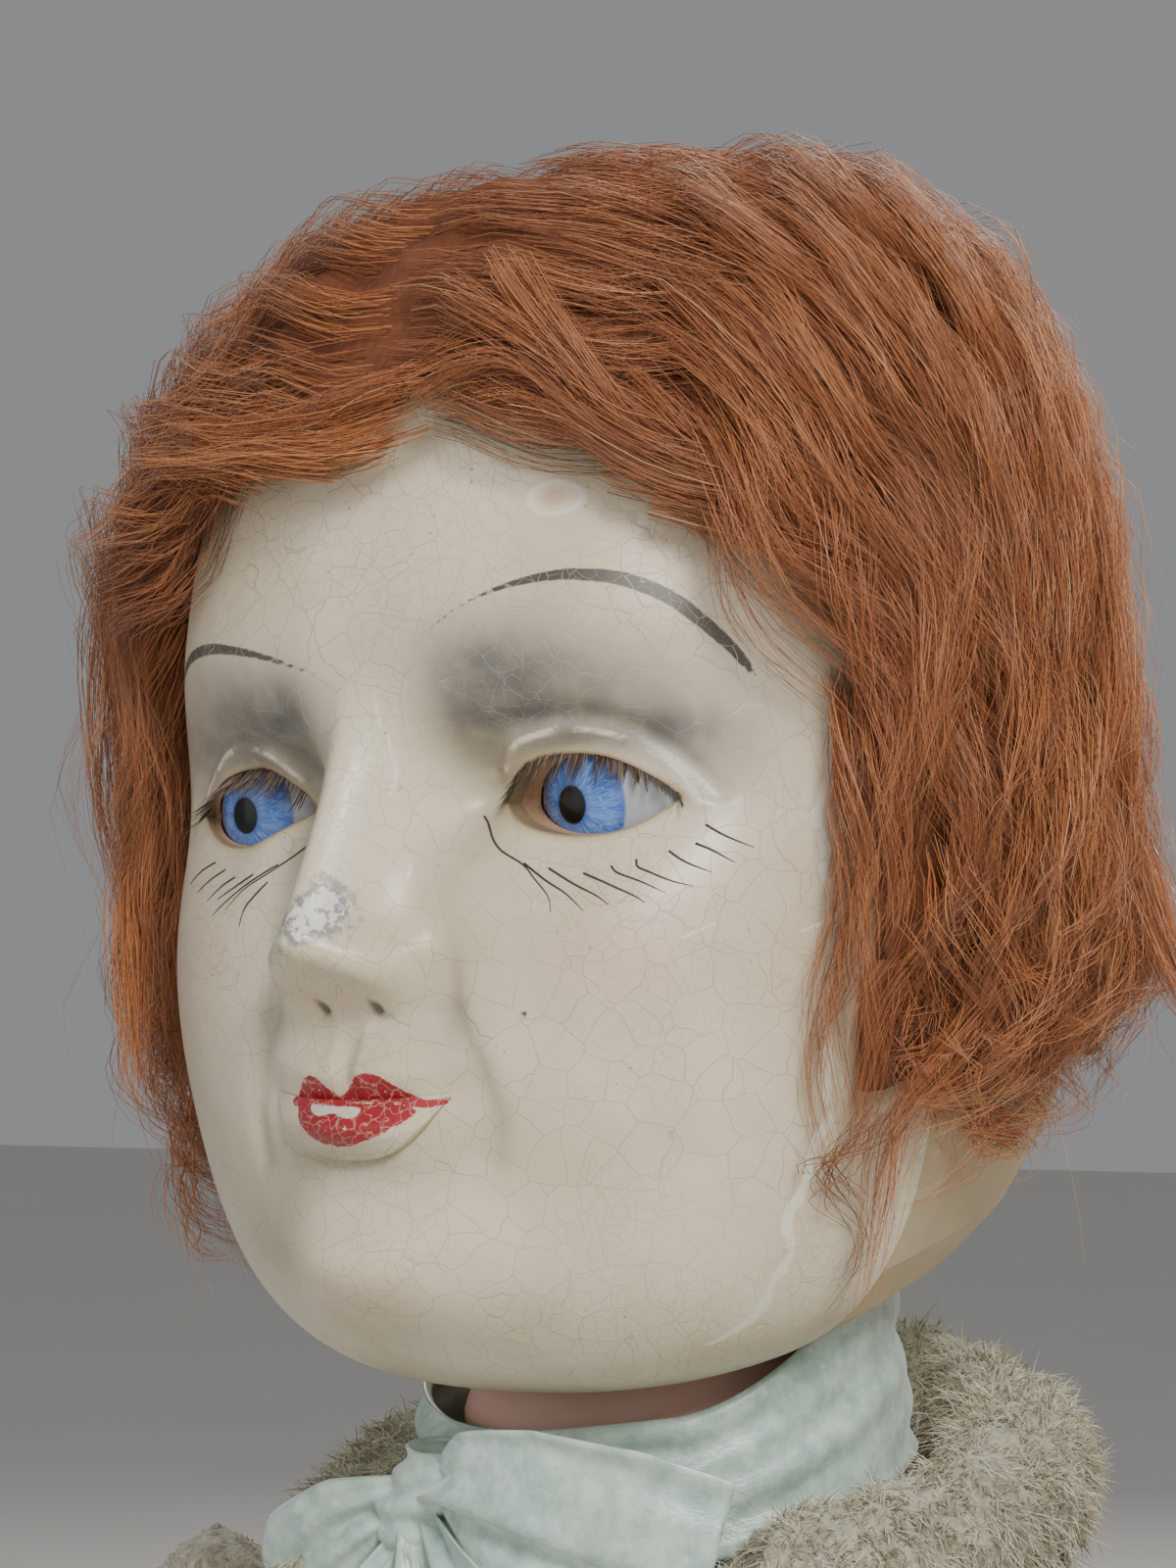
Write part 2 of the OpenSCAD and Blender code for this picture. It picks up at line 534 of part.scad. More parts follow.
module upper_arm_core_l() color([0.76, 0.60, 0.40]) seated() upper_arm_core(1);
module upper_arm_core_r() color([0.76, 0.60, 0.40]) seated() upper_arm_core(-1);
module sleeve_upper_l() color([0.90, 0.84, 0.70]) seated() sleeve_upper(1);
module sleeve_upper_r() color([0.90, 0.84, 0.70]) seated() sleeve_upper(-1);
module forearm_core_l() color([0.76, 0.60, 0.40]) seated() forearm_core(1);
module forearm_core_r() color([0.76, 0.60, 0.40]) seated() forearm_core(-1);
module sleeve_fore_l() color([0.90, 0.84, 0.70]) seated() sleeve_fore(1);
module sleeve_fore_r() color([0.90, 0.84, 0.70]) seated() sleeve_fore(-1);
module hand_l() color([0.93, 0.84, 0.72]) seated() hand(1);
module hand_r() color([0.93, 0.84, 0.72]) seated() hand(-1);

// ---------------------------------------------------------------- legs
module fwd() rotate([90, 0, 0]) children();   // local +Z points forwards, local +Y points up
module thigh_core(s) translate([s * leg_x, hip_y, hip_z]) fwd() difference() {
  union() {
    x_rod(11, 10);
    translate([-5, -11, 0]) cube([10, 22, 42]);
    translate([0, 0, 38]) cylinder(r = 24, h = thigh_l - 58);
    for (e = [-1, 1]) translate([e * 8.2 - 2.5, -10, thigh_l - 26]) cube([5, 20, 26]);
    for (e = [-1, 1]) translate([e * 8.2, 0, thigh_l]) x_rod(10, 5);
  }
  x_rod(3 + run_gap, 40);
  translate([0, 0, thigh_l]) x_rod(3 + run_gap, 60);
  translate([-5.7, -40, thigh_l - 16]) cube([11.4, 80, 40]);
}
module trouser_thigh(s) translate([s * leg_x, hip_y, hip_z]) fwd() difference() {
  translate([0, 0, 40]) cylinder(r = 30, h = thigh_l - 70);
  translate([0, 0, 20]) cylinder(r = 24.2, h = thigh_l);
}
module shin_core(s) translate([s * leg_x, knee_y, hip_z]) fwd() {
  x_rod(10, 10);
  x_rod(3, 22);
  translate([-5, -10, 0]) cube([10, 20, 26]);
  translate([0, 0, 22]) cylinder(r1 = 21, r2 = 15, h = shin_l - 24);
}
module trouser_shin(s) translate([s * leg_x, knee_y, hip_z]) fwd() difference() {
  translate([0, 0, 30]) cylinder(r = 27, h = shin_l - 56);
  translate([0, 0, 10]) cylinder(r = 21.2, h = shin_l);
}
module shoe(s) translate([s * leg_x, ankle_y, hip_z]) fwd() resize([0, 0, 0]) difference() {
  union() {
    hull() {
      translate([0, -15, 22]) cylinder(r = 19, h = 6, $fn = 32);
      translate([0, 44, 22]) cylinder(r = 23, h = 6, $fn = 32);
    }
    hull() {
      translate([0, -15, 2]) cylinder(r = 18, h = 18, $fn = 32);
      translate([0, 44, 14]) cylinder(r = 21, h = 7, $fn = 32);
      translate([0, 50, 8]) sphere(r = 14, $fn = 24);
      translate([0, 12, -4]) cylinder(r = 16, h = 10, $fn = 32);
    }
    translate([0, 0, 18]) hull() {
      translate([0, -15, 0]) cylinder(r = 17, h = 6, $fn = 32);
      translate([0, 44, 0]) cylinder(r = 20, h = 6, $fn = 32);
    }
  }
  translate([0, 0, -20]) cylinder(r = 15.2, h = 22, $fn = 32);
  translate([0, 0, -20]) cylinder(r = 15.2, h = 18.1, $fn = 32);
}
module thigh_core_l() color([0.76, 0.60, 0.40]) seated() thigh_core(1);
module thigh_core_r() color([0.76, 0.60, 0.40]) seated() thigh_core(-1);
module trouser_thigh_l() color([0.90, 0.84, 0.70]) seated() trouser_thigh(1);
module trouser_thigh_r() color([0.90, 0.84, 0.70]) seated() trouser_thigh(-1);
module shin_core_l() color([0.76, 0.60, 0.40]) seated() shin_core(1);
module shin_core_r() color([0.76, 0.60, 0.40]) seated() shin_core(-1);
module trouser_shin_l() color([0.90, 0.84, 0.70]) seated() trouser_shin(1);
module trouser_shin_r() color([0.90, 0.84, 0.70]) seated() trouser_shin(-1);
module shoe_l() color([0.25, 0.16, 0.12]) seated() shoe(1);
module shoe_r() color([0.25, 0.16, 0.12]) seated() shoe(-1);

torso_front();
torso_back();
shoulder_board();
seat_board();
hip_ears();
shoulder_pins();
neck();
ribbon_band();
ribbon_bow();
coat_body();
coat_collar();
coat_buttons();
trouser_seat();
control_stick();
stick_grip();
stick_collar();
nod_pin();
mouth_trigger();
eye_lever();
face_shell();
skull_shell();
wig();
upper_lashes();
cross_board();
eye_frame();
lip_bracket();
lip_spring();
eyeball_l();
iris_l();
eye_arm_l();
eyeball_r();
iris_r_ins();
eye_arm_r();
eye_tie_bar();
lower_lip();
lip_arm();
upper_arm_core_l();
sleeve_upper_l();
forearm_core_l();
sleeve_fore_l();
hand_l();
upper_arm_core_r();
sleeve_upper_r();
forearm_core_r();
sleeve_fore_r();
hand_r();
thigh_core_l();
trouser_thigh_l();
shin_core_l();
trouser_shin_l();
shoe_l();
thigh_core_r();
trouser_thigh_r();
shin_core_r();
trouser_shin_r();
shoe_r();
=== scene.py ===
"""A seated, doll-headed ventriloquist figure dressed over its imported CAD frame.

Lengths are in mm until a mesh is made. Places on the head are measured from HEAD, with the face towards -Y.
"""
import json
import math

import bmesh
import bpy
import numpy as np
from mathutils import Matrix, Vector
from mathutils.bvhtree import BVHTree


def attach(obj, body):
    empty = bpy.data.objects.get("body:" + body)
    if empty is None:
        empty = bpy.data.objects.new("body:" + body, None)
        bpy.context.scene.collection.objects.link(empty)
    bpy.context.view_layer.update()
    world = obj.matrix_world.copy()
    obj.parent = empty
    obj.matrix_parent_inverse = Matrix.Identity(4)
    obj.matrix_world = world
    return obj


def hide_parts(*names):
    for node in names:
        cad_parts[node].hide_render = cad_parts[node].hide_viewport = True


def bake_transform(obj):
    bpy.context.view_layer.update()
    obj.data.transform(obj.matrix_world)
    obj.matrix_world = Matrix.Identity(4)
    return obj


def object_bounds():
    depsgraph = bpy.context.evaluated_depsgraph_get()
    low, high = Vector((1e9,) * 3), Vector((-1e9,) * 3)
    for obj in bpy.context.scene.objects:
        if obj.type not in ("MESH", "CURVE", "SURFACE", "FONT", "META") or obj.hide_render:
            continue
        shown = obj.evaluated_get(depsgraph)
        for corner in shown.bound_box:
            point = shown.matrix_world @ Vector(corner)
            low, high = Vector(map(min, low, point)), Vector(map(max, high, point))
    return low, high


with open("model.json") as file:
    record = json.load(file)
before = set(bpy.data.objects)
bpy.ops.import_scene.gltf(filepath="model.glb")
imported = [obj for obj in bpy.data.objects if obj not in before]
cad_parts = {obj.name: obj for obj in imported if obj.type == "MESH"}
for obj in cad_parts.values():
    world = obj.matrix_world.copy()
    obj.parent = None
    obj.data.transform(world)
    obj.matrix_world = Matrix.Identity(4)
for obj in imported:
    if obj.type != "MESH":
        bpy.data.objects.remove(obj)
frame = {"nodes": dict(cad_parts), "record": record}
cad_lo, cad_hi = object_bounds()
rng = np.random.default_rng(11)

BODY_Y = 179.95
HEAD = np.array([0.0, BODY_Y, 428.0])  # the head's own origin, at the eye line
# the head: half width, front, back, crown and chin
HW, HF, HB, CH, CD = 76.5, 84.0, 66.0, 106.0, 106.0
EYE, ER = np.array([35.5, -50.0, -1.0]), 17.5  # the left eye's centre from HEAD, and its radius
NECK_TILT = math.radians(8)
NECK_SEAT = np.array([0.0, 2.0, -98.0])  # the neck's own origin, from HEAD
TILT_COS, TILT_SIN = math.cos(NECK_TILT), math.sin(NECK_TILT)
NECK_R = np.array([[1, 0, 0], [0, TILT_COS, -TILT_SIN], [0, TILT_SIN, TILT_COS]])
# powers of the head's rounded rule: in plan, above the eyes and below them
ROUND_P, HIGH_P, LOW_P = 2.33, 2.75, 3.55
JAW = 0.26  # share by which the lower head is drawn up, growing backwards


# ------------------------------------------------------------------ materials
def col(*rgb):
    """A display colour, 0 to 255, as the linear colour of a material."""
    return tuple(((c / 255 + 0.055) / 1.055) ** 2.4 if c > 10 else c / 255 / 12.92 for c in rgb) + (1.0,)


class Nodes:
    """Short hand for building one material's node tree."""

    def __init__(self, name):
        self.m = bpy.data.materials.new(name)
        self.m.use_nodes = True
        self.t = self.m.node_tree
        self.p = self.t.nodes["Principled BSDF"]

    def set(self, **kw):
        for k, v in kw.items():
            self.feed(self.p.inputs[k.replace("_", " ")], v)
        return self

    def feed(self, s, v):
        """Link v into the socket s, or set it as the socket's value."""
        if isinstance(v, bpy.types.NodeSocket):
            self.t.links.new(v, s)
        else:
            s.default_value = v

    def node(self, kind, out=0, props=None, **ins):
        n = self.t.nodes.new(kind)
        for k, v in (props or {}).items():
            setattr(n, k, v)
        for k, v in ins.items():
            numbered = k[0] == "i" and k[1:].isdigit()
            self.feed(n.inputs[int(k[1:]) if numbered else k.replace("_", " ")], v)
        return n.outputs[out]

    def attr(self, name):
        return self.node("ShaderNodeAttribute", "Fac", {"attribute_name": name})

    def pos(self):
        return self.node("ShaderNodeTexCoord", "Object")

    def math(self, op, a, b=0.0, c=0.0, clamp=False):
        return self.node("ShaderNodeMath", 0, {"operation": op, "use_clamp": clamp}, i0=a, i1=b, i2=c)

    def mul(self, a, b, clamp=False):
        return self.math("MULTIPLY", a, b, clamp=clamp)

    def add(self, a, b):
        return self.math("ADD", a, b)

    def sub(self, a, b):
        return self.math("SUBTRACT", a, b)

    def ramp(self, v, a, b, lo=0.0, hi=1.0):
        n = self.t.nodes.new("ShaderNodeMapRange")
        n.interpolation_type = "SMOOTHSTEP"
        for s, x in zip(("Value", "From Min", "From Max", "To Min", "To Max"), (v, a, b, lo, hi)):
            self.feed(n.inputs[s], x)
        return n.outputs[0]

    def mix(self, f, a, b):
        n = self.t.nodes.new("ShaderNodeMix")
        n.data_type = "RGBA"
        for s, x in zip((0, 6, 7), (f, a, b)):
            self.feed(n.inputs[s], x)
        return n.outputs[2]

    def noise(self, scale, detail=3.0, rough=0.55, vec=None):
        v = vec or self.pos()
        return self.node("ShaderNodeTexNoise", Scale=scale, Detail=detail, Roughness=rough, Vector=v)

    def cells(self, scale, vec=None, feature="DISTANCE_TO_EDGE"):
        return self.node(
            "ShaderNodeTexVoronoi", 0, {"feature": feature}, Scale=scale, Vector=vec or self.pos()
        )

    def warped(self, scale, amount):
        n = self.node("ShaderNodeTexNoise", 1, None, Scale=scale, Detail=2.0, Vector=self.pos())
        s = self.node("ShaderNodeVectorMath", 0, {"operation": "SCALE"}, i0=n, Scale=amount)
        return self.node("ShaderNodeVectorMath", 0, {"operation": "ADD"}, i0=self.pos(), i1=s)

    def bump(self, h, strength, distance):
        return self.node("ShaderNodeBump", Height=h, Strength=strength, Distance=distance)


def plain(name, rgb, rough=0.5, vary=0.12, scale=60.0, bump=0.0, **kw):
    n = Nodes(name)
    c = col(*rgb)
    dark = tuple(x * (1 - vary) for x in c[:3]) + (1,)
    light = tuple(min(1, x * (1 + vary)) for x in c[:3]) + (1,)
    v = n.noise(scale, 4.0, 0.6)
    n.set(Base_Color=n.mix(v, dark, light), Roughness=rough, **kw)
    if bump:
        n.set(Normal=n.bump(v, bump, 0.0006))
    return n.m


def wood(name, rgb, rough=0.55, along=2):
    n = Nodes(name)
    c = col(*rgb)
    s = [90.0, 90.0, 90.0]
    s[along] = 7.0
    v = n.node("ShaderNodeMapping", Vector=n.pos(), Scale=s)
    g = n.noise(1.0, 5.0, 0.6, v)
    n.set(
        Base_Color=n.mix(n.ramp(g, 0.35, 0.7), tuple(x * 0.62 for x in c[:3]) + (1,), c),
        Roughness=rough,
        Normal=n.bump(g, 0.25, 0.0005),
    )
    return n.m


# ------------------------------------------------------------------ meshes
def mesh(name, v, f, mats=(), slots=None, body=None):
    """v is in mm in the row frame. f is an array of faces of one size, or a list of such arrays."""
    me = bpy.data.meshes.new(name)
    v = np.asarray(v, np.float32) * 0.001
    parts = [np.asarray(a, np.int32) for a in (f if isinstance(f, list) else [f])]
    me.vertices.add(len(v))
    me.vertices.foreach_set("co", v.ravel())
    me.loops.add(sum(a.size for a in parts))
    me.loops.foreach_set("vertex_index", np.concatenate([a.ravel() for a in parts]))
    me.polygons.add(sum(len(a) for a in parts))
    sizes = np.concatenate([np.full(len(a), a.shape[1]) for a in parts])
    me.polygons.foreach_set("loop_start", np.concatenate([[0], np.cumsum(sizes)[:-1]]).astype(np.int32))
    me.update(calc_edges=True)
    for m in mats:
        me.materials.append(m)
    if slots is not None:
        me.polygons.foreach_set("material_index", np.asarray(slots, np.int32))
    me.polygons.foreach_set("use_smooth", np.full(len(me.polygons), True))
    o = bpy.data.objects.new(name, me)
    bpy.context.scene.collection.objects.link(o)
    if body:
        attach(o, body)
    return o


def verts(o):
    a = np.empty(len(o.data.vertices) * 3, np.float32)
    o.data.vertices.foreach_get("co", a)
    return a.reshape(-1, 3).astype(float) * 1000


def put(o, name, values):
    a = o.data.attributes.get(name) or o.data.attributes.new(name, "FLOAT", "POINT")
    a.data.foreach_set("value", np.asarray(values, np.float32))


def applied(o):
    dg = bpy.context.evaluated_depsgraph_get()
    me = bpy.data.meshes.new_from_object(o.evaluated_get(dg), depsgraph=dg)
    o.modifiers.clear()
    old = o.data
    o.data = me
    bpy.data.meshes.remove(old)
    return o


def cut(o, cutters):
    for c in cutters:
        m = o.modifiers.new("cut", "BOOLEAN")
        m.operation = "DIFFERENCE"
        m.solver = "MANIFOLD"
        m.object = c
        applied(o)
        bpy.data.objects.remove(c)
    return o


def grid_faces(rows, cols, wrap=False):
    i, j = np.meshgrid(np.arange(rows - 1), np.arange(cols if wrap else cols - 1), indexing="ij")
    k = (j + 1) % cols
    return np.stack([i * cols + j, i * cols + k, (i + 1) * cols + k, (i + 1) * cols + j], -1).reshape(-1, 4)


def sheet_faces(r, c):
    """Faces of two equal grids, the second turned over, closed round their shared outline."""
    f, n = grid_faces(r, c), r * c
    right, top = np.arange(1, r) * c + c - 1, (r - 1) * c + np.arange(c - 2, -1, -1)
    ring = np.concatenate([np.arange(c), right, top, np.arange(r - 2, 0, -1) * c])
    nxt = np.roll(ring, -1)
    return [f, f[:, ::-1] + n, np.stack([nxt, ring, ring + n, nxt + n], -1)]


def end_caps(ring, first, last, apex, turned=False):
    """Triangle fans from the apex points, apex and apex + 1, to the first and the last ring."""
    i = np.arange(ring)
    j = (i + 1) % ring
    a = [np.full(ring, apex), first + i, first + j]
    b = [np.full(ring, apex + 1), last + j, last + i]
    if turned:
        a, b = [a[0], a[2], a[1]], [b[0], b[2], b[1]]
    return np.vstack([np.stack(a, -1), np.stack(b, -1)])


def cad_copy(name, nodes):
    """One object with copies of these CAD nodes' meshes, in the row frame."""
    bm = bmesh.new()
    for n in nodes:
        src = frame["nodes"][n]
        me = src.data.copy()
        me.transform(src.matrix_world)
        bm.from_mesh(me)
        bpy.data.meshes.remove(me)
    me = bpy.data.meshes.new(name)
    bm.to_mesh(me)
    bm.free()
    o = bpy.data.objects.new(name, me)
    bpy.context.scene.collection.objects.link(o)
    return o


def remeshed(o, voxel, smooth):
    m = o.modifiers.new("voxel", "REMESH")
    m.mode = "VOXEL"
    m.voxel_size = voxel * 0.001
    s = o.modifiers.new("smooth", "SMOOTH")
    s.iterations = smooth
    applied(o)
    o.data.polygons.foreach_set("use_smooth", np.full(len(o.data.polygons), True))
    return o


def tube(line, radius, sides=8, close=True):
    """A tube along each line: line (m, 3), radius number or (m,)."""
    p = np.asarray(line, float)
    t = np.gradient(p, axis=0)
    t /= np.linalg.norm(t, axis=1, keepdims=True) + 1e-9
    up = np.array([0.3, 0.2, 0.93])
    a = np.cross(t, up)
    a /= np.linalg.norm(a, axis=1, keepdims=True) + 1e-9
    b = np.cross(t, a)
    r = np.broadcast_to(np.asarray(radius, float), (len(p),))[:, None, None]
    th = np.arange(sides) * 2 * np.pi / sides
    v = p[:, None] + r * (np.cos(th)[None, :, None] * a[:, None] + np.sin(th)[None, :, None] * b[:, None])
    f = [grid_faces(len(p), sides, True)]
    v = v.reshape(-1, 3)
    if close:
        f.append(end_caps(sides, 0, (len(p) - 1) * sides, len(v), True))
        v = np.vstack([v, p[:1], p[-1:]])
    return v, f


def strands(name, lines, radius, mats, pick, body, sides=3):
    """Many thin hairs as one mesh. lines (n, m, 3); radius (n,) at the root; pick (n,) material of each."""
    p = np.asarray(lines, float)
    n, m, _ = p.shape
    t = np.gradient(p, axis=1)
    t /= np.linalg.norm(t, axis=2, keepdims=True) + 1e-9
    a = np.cross(t, np.array([0.31, 0.17, 0.94]))
    a /= np.linalg.norm(a, axis=2, keepdims=True) + 1e-9
    b = np.cross(t, a)
    taper = np.clip(1.15 - np.linspace(0, 1, m) ** 2.2, 0.12, 1)
    r = (np.asarray(radius)[:, None] * taper[None])[..., None, None]
    th = np.arange(sides) * 2 * np.pi / sides
    v = p[:, :, None] + r * (np.cos(th)[:, None] * a[:, :, None] + np.sin(th)[:, None] * b[:, :, None])
    f = grid_faces(m, sides, True)
    faces = (f[None] + (np.arange(n) * m * sides)[:, None, None]).reshape(-1, 4)
    return mesh(name, v.reshape(-1, 3), faces, mats, np.repeat(pick, len(f)), body)


# ------------------------------------------------------------------ the head's rule
def ramp(a, b, v):
    t = np.clip((v - a) / (b - a), 0, 1)
    return t * t * (3 - 2 * t)


def bump(x, z, cx, cz, sx, sz):
    return np.exp(-(((x - cx) / sx) ** 2) - ((z - cz) / sz) ** 2)


def unit(v):
    return v / (np.linalg.norm(v, axis=-1, keepdims=True) + 1e-12)


def skull_r(x, y, z):
    p, c = np.where(z > 0, HIGH_P, LOW_P), np.where(z > 0, CH, CD)
    b = np.where(y < 0, HF, HB)
    h = (np.abs(x / HW) ** ROUND_P + np.abs(y / b) ** ROUND_P) ** (1 / ROUND_P)
    return 1 / (h**p + np.abs(z / c) ** p) ** (1 / p)


def drawn_up(z, y):
    """Heights below the eye line, shortened towards the nape."""
    return np.where(z < 0, z * (1 - JAW * ramp(-60, 70, y)), z)


def seg_dist(x, z, line):
    """Distance of each point from a polyline in x and z."""
    d = np.full(np.shape(x), 1e9)
    for (ax, az), (bx, bz) in zip(line[:-1], line[1:]):
        ux, uz = bx - ax, bz - az
        t = np.clip(((x - ax) * ux + (z - az) * uz) / (ux * ux + uz * uz + 1e-9), 0, 1)
        d = np.minimum(d, np.hypot(x - ax - t * ux, z - az - t * uz))
    return d


def smooth_line(pts, n=8):
    """Catmull-Rom through points of any width."""
    p = np.asarray(pts, float)
    q = np.vstack([2 * p[0] - p[1], p, 2 * p[-1] - p[-2]])
    out = []
    for i in range(1, len(q) - 2):
        t = np.linspace(0, 1, n, endpoint=False)[:, None]
        a, b, c, d = q[i - 1], q[i], q[i + 1], q[i + 2]
        out.append(
            0.5 * (2 * b + (c - a) * t + (2 * a - 5 * b + 4 * c - d) * t**2 + (3 * b - a - 3 * c + d) * t**3)
        )
    return np.vstack(out + [p[-1:]])


FOLD = smooth_line([(22, 3), (26, 6.8), (31, 8.6), (36, 9.2), (42, 8.0), (47, 4.9), (51, 1), (54, -3)], 4)
SMILE = smooth_line([(19, -37), (21.5, -42), (23.8, -48), (24.8, -54), (24, -60)], 4)


def features(x, z, lip=False, fine=True):
    ax = np.abs(x)
    nh = np.where(z > -24, 17.8 * np.clip((22 - z) / 46, 0, 1) ** 1.35, 17.8 * (1 - ramp(-25, -38, z)))
    nw = 9.5 - 4 * np.clip((z + 26) / 34, 0, 1)
    f = nh * np.exp(-((ax / nw) ** 2) * 1.1)
    for h, cx, cz, sx, sz in (
        (6, 9.5, -29, 5, 5.5), (3.2, 0, -50, 22, 13), (2.4, 6, -46, 9, 3.2), (15.5, 0, -80, 24, 14),
        (3.4, 46, -32, 20, 22), (1.8, 30, 24, 22, 9), (-11.8, 37, 0, 17, 13), (-11, 17, -1, 8, 10),
        (-1.2, 0, -64, 16, 4), (-1.6, 19.5, -49, 4, 4),
    ):
        f = f + h * bump(ax, z, cx, cz, sx, sz)
    if lip:
        f = f + 4.4 * bump(ax, z, 0, -55.5, 14, 4.2)
    if fine:
        f = f + fine_face(ax, z)
    return f


def fine_face(ax, z):
    """Creases and rims too small for the CAD skin."""
    near = (ax < 62) & (z > -66) & (z < 20)
    out = np.zeros(np.shape(ax))
    a, c = ax[near], z[near]
    d = seg_dist(a, c, FOLD)
    over = c > np.interp(a, FOLD[:, 0], FOLD[:, 1])
    g = 0.75 * np.exp(-((d / 1.3) ** 2)) - np.where(over, 1.1, 0.2) * np.exp(-(((d - 2.6) / 1.7) ** 2))
    g = g - 1.2 * np.exp(-((seg_dist(a, c, SMILE) / 2.6) ** 2))
    g = g - 1.8 * bump(a, c, 5.8, -35.6, 1.9, 1.9)
    g = g + 0.9 * bump(a, c, 14.6, -29, 2.2, 5) - 1.3 * bump(a, c, 18.4, -31, 2.6, 6)
    g = g - 0.8 * bump(a, c, 0, -44, 2.0, 5) + 0.35 * bump(a, c, 3.2, -43, 1.2, 4)
    out[near] = g
    return out


def head_pt(az, el, inset=0.0, lip=False, fine=True):
    az, el = np.radians(az), np.radians(el)
    d = np.stack([np.sin(az) * np.cos(el), -np.cos(az) * np.cos(el), np.sin(el)], -1)
    q = d * (skull_r(d[..., 0], d[..., 1], d[..., 2]) - inset)[..., None]
    x, y, z = q[..., 0], q[..., 1], q[..., 2]
    f = -y + ramp(4, -26, y) * features(x, z, lip, fine)
    s = (ER + 1.8) ** 2 - (np.abs(x) - EYE[0]) ** 2 - (z - EYE[2]) ** 2
    lid = np.where(s > 0, -EYE[1] + np.sqrt(np.maximum(s, 0)), 0) - inset * 0.2
    k = 2.5
    h = np.clip(0.5 + 0.5 * (f - lid) / k, 0, 1)
    lidded = f * h + lid * (1 - h) + k * h * (1 - h)
    f = np.where((y < -20) & (np.abs(z) < 24), lidded, f)
    z = drawn_up(z, -f)
    return np.stack([x, -f, z], -1)


def skin(n_a, n_e, inset=0.0, lip=False, fine=True):
    t, u = np.meshgrid(360 * np.arange(n_a) / n_a, -90 + 180 * np.arange(1, n_e) / n_e)
    r = np.radians
    p = head_pt(t - 34 * np.sin(r(t)), u + 4 * np.sin(r(2 * u)), inset, lip, fine).reshape(-1, 3)
    v = np.vstack([p, [[0, 0, head_pt(0.0, -89.9, inset, lip, fine)[2]]], [[0, 0, CH - inset]]])
    return v, [grid_faces(n_e - 1, n_a, True), end_caps(n_a, 0, (n_e - 2) * n_a, len(p), True)]


def lid_curve(t, up):
    x = 20.6 + 15.3 * (t + 1)
    if up:
        return x, -2.2 + 7.6 * (1 - np.abs(t + 0.12 * (1 - t * t)) ** 2.3) ** 0.85
    return x, -2.2 - 5.8 * (1 - np.abs(t - 0.05 * (1 - t * t)) ** 2.2)


def lid_loop(m):
    """The closed outline of an eye opening, the upper edge first."""
    t = np.linspace(-1, 1, m)
    return np.vstack([np.stack(lid_curve(t, True), -1), np.stack(lid_curve(t[::-1], False), -1)[1:-1]])


def prism(name, outline, y0, y1):
    """A closed prism along y from an outline in x and z, in head mm."""
    o = np.asarray(outline, float)
    n = len(o)
    v = np.vstack([np.c_[o[:, 0], np.full(n, y0), o[:, 1]], np.c_[o[:, 0], np.full(n, y1), o[:, 1]]])
    i = np.arange(n)
    j = (i + 1) % n
    sides, near, far = np.stack([i, j, j + n, i + n], -1), i[None], (i[::-1] + n)[None]
    if np.sum(o[:, 0] * np.roll(o[:, 1], -1) - np.roll(o[:, 0], -1) * o[:, 1]) > 0:
        sides = sides[:, ::-1]
    else:
        near, far = near[:, ::-1], far[:, ::-1]
    return mesh(name, v + HEAD, [sides, near, far])


def ball(name, centre, r, rings=40, seg=64):
    th = np.linspace(0, np.pi, rings + 1)[1:-1]
    ph = np.arange(seg) * 2 * np.pi / seg
    v = np.stack([
        np.sin(th)[:, None] * np.cos(ph), np.sin(th)[:, None] * np.sin(ph), np.cos(th)[:, None] * np.ones(seg)
    ], -1).reshape(-1, 3) * r
    n = len(v)
    v = np.vstack([v, [[0, 0, r]], [[0, 0, -r]]]) + centre
    return mesh(name, v, [grid_faces(rings - 1, seg, True)[:, ::-1], end_caps(seg, 0, (rings - 2) * seg, n)])


# ------------------------------------------------------------------ paint on the face, placed in head x and z
BROW_L = [
    (16.6, 26.2, .25), (21.7, 29.5, .3), (27.9, 32.1, .55), (35.5, 33.8, .95), (41.3, 33.8, 1.15),
    (46.5, 32.8, 1.25), (51.7, 30.1, 1.2), (55.2, 26.8, 1.1), (58.5, 22.7, .9), (60.4, 19.5, .7),
    (61.5, 17.1, .3)
]
BROW_R = [(-5.8, 19.0, .2), (-12.6, 21.2, .4), (-19.5, 23.2, .65), (-27.5, 24.8, .85), (-36.4, 25.8, 1.1),
          (-44.9, 25.4, 1.15), (-52, 23.6, 1.0), (-57, 20.6, .6), (-59.5, 18, .25)]
LIP_UP = [
    (-12.6, -50.9), (-11, -49.3), (-9.4, -47.6), (-7.4, -46.6), (-5.4, -46.9), (-3.6, -48.6), (-1.9, -49.9),
    (-.3, -49.2), (2.4, -47.0), (5.6, -46.0), (8, -46.7), (10, -48.2), (12.2, -49.5), (14.7, -50.3),
    (16.8, -50.4), (18.2, -49.8), (17.6, -51.3), (15.6, -51.9), (13.4, -51.9), (10.6, -51.4), (7, -51.1),
    (3.6, -51.1), (.6, -51.8), (-3, -51.5), (-7.2, -51.5), (-9.6, -51.9), (-12.2, -51.6)
]
LIP_LOW = [
    (-10.6, -51.9), (-7.2, -51.3), (-2.9, -51.4), (2.6, -51.1), (6, -50.9), (9, -50.9), (12, -51.4),
    (13.6, -52.2), (12.8, -53.6), (10.6, -54.9), (7.8, -56.4), (4.2, -57.6), (1.5, -58.2), (-2, -58.2),
    (-4.6, -57.5), (-6.6, -56.3), (-8.6, -54.9), (-10, -53.4)
]
CHIP = [
    (-7.2, -51.4), (-2.9, -51.5), (2.6, -51.6), (4.4, -52.1), (3.7, -53.4), (.9, -53.4), (-1.1, -52.8),
    (-4, -53.3), (-6.6, -52.5)
]
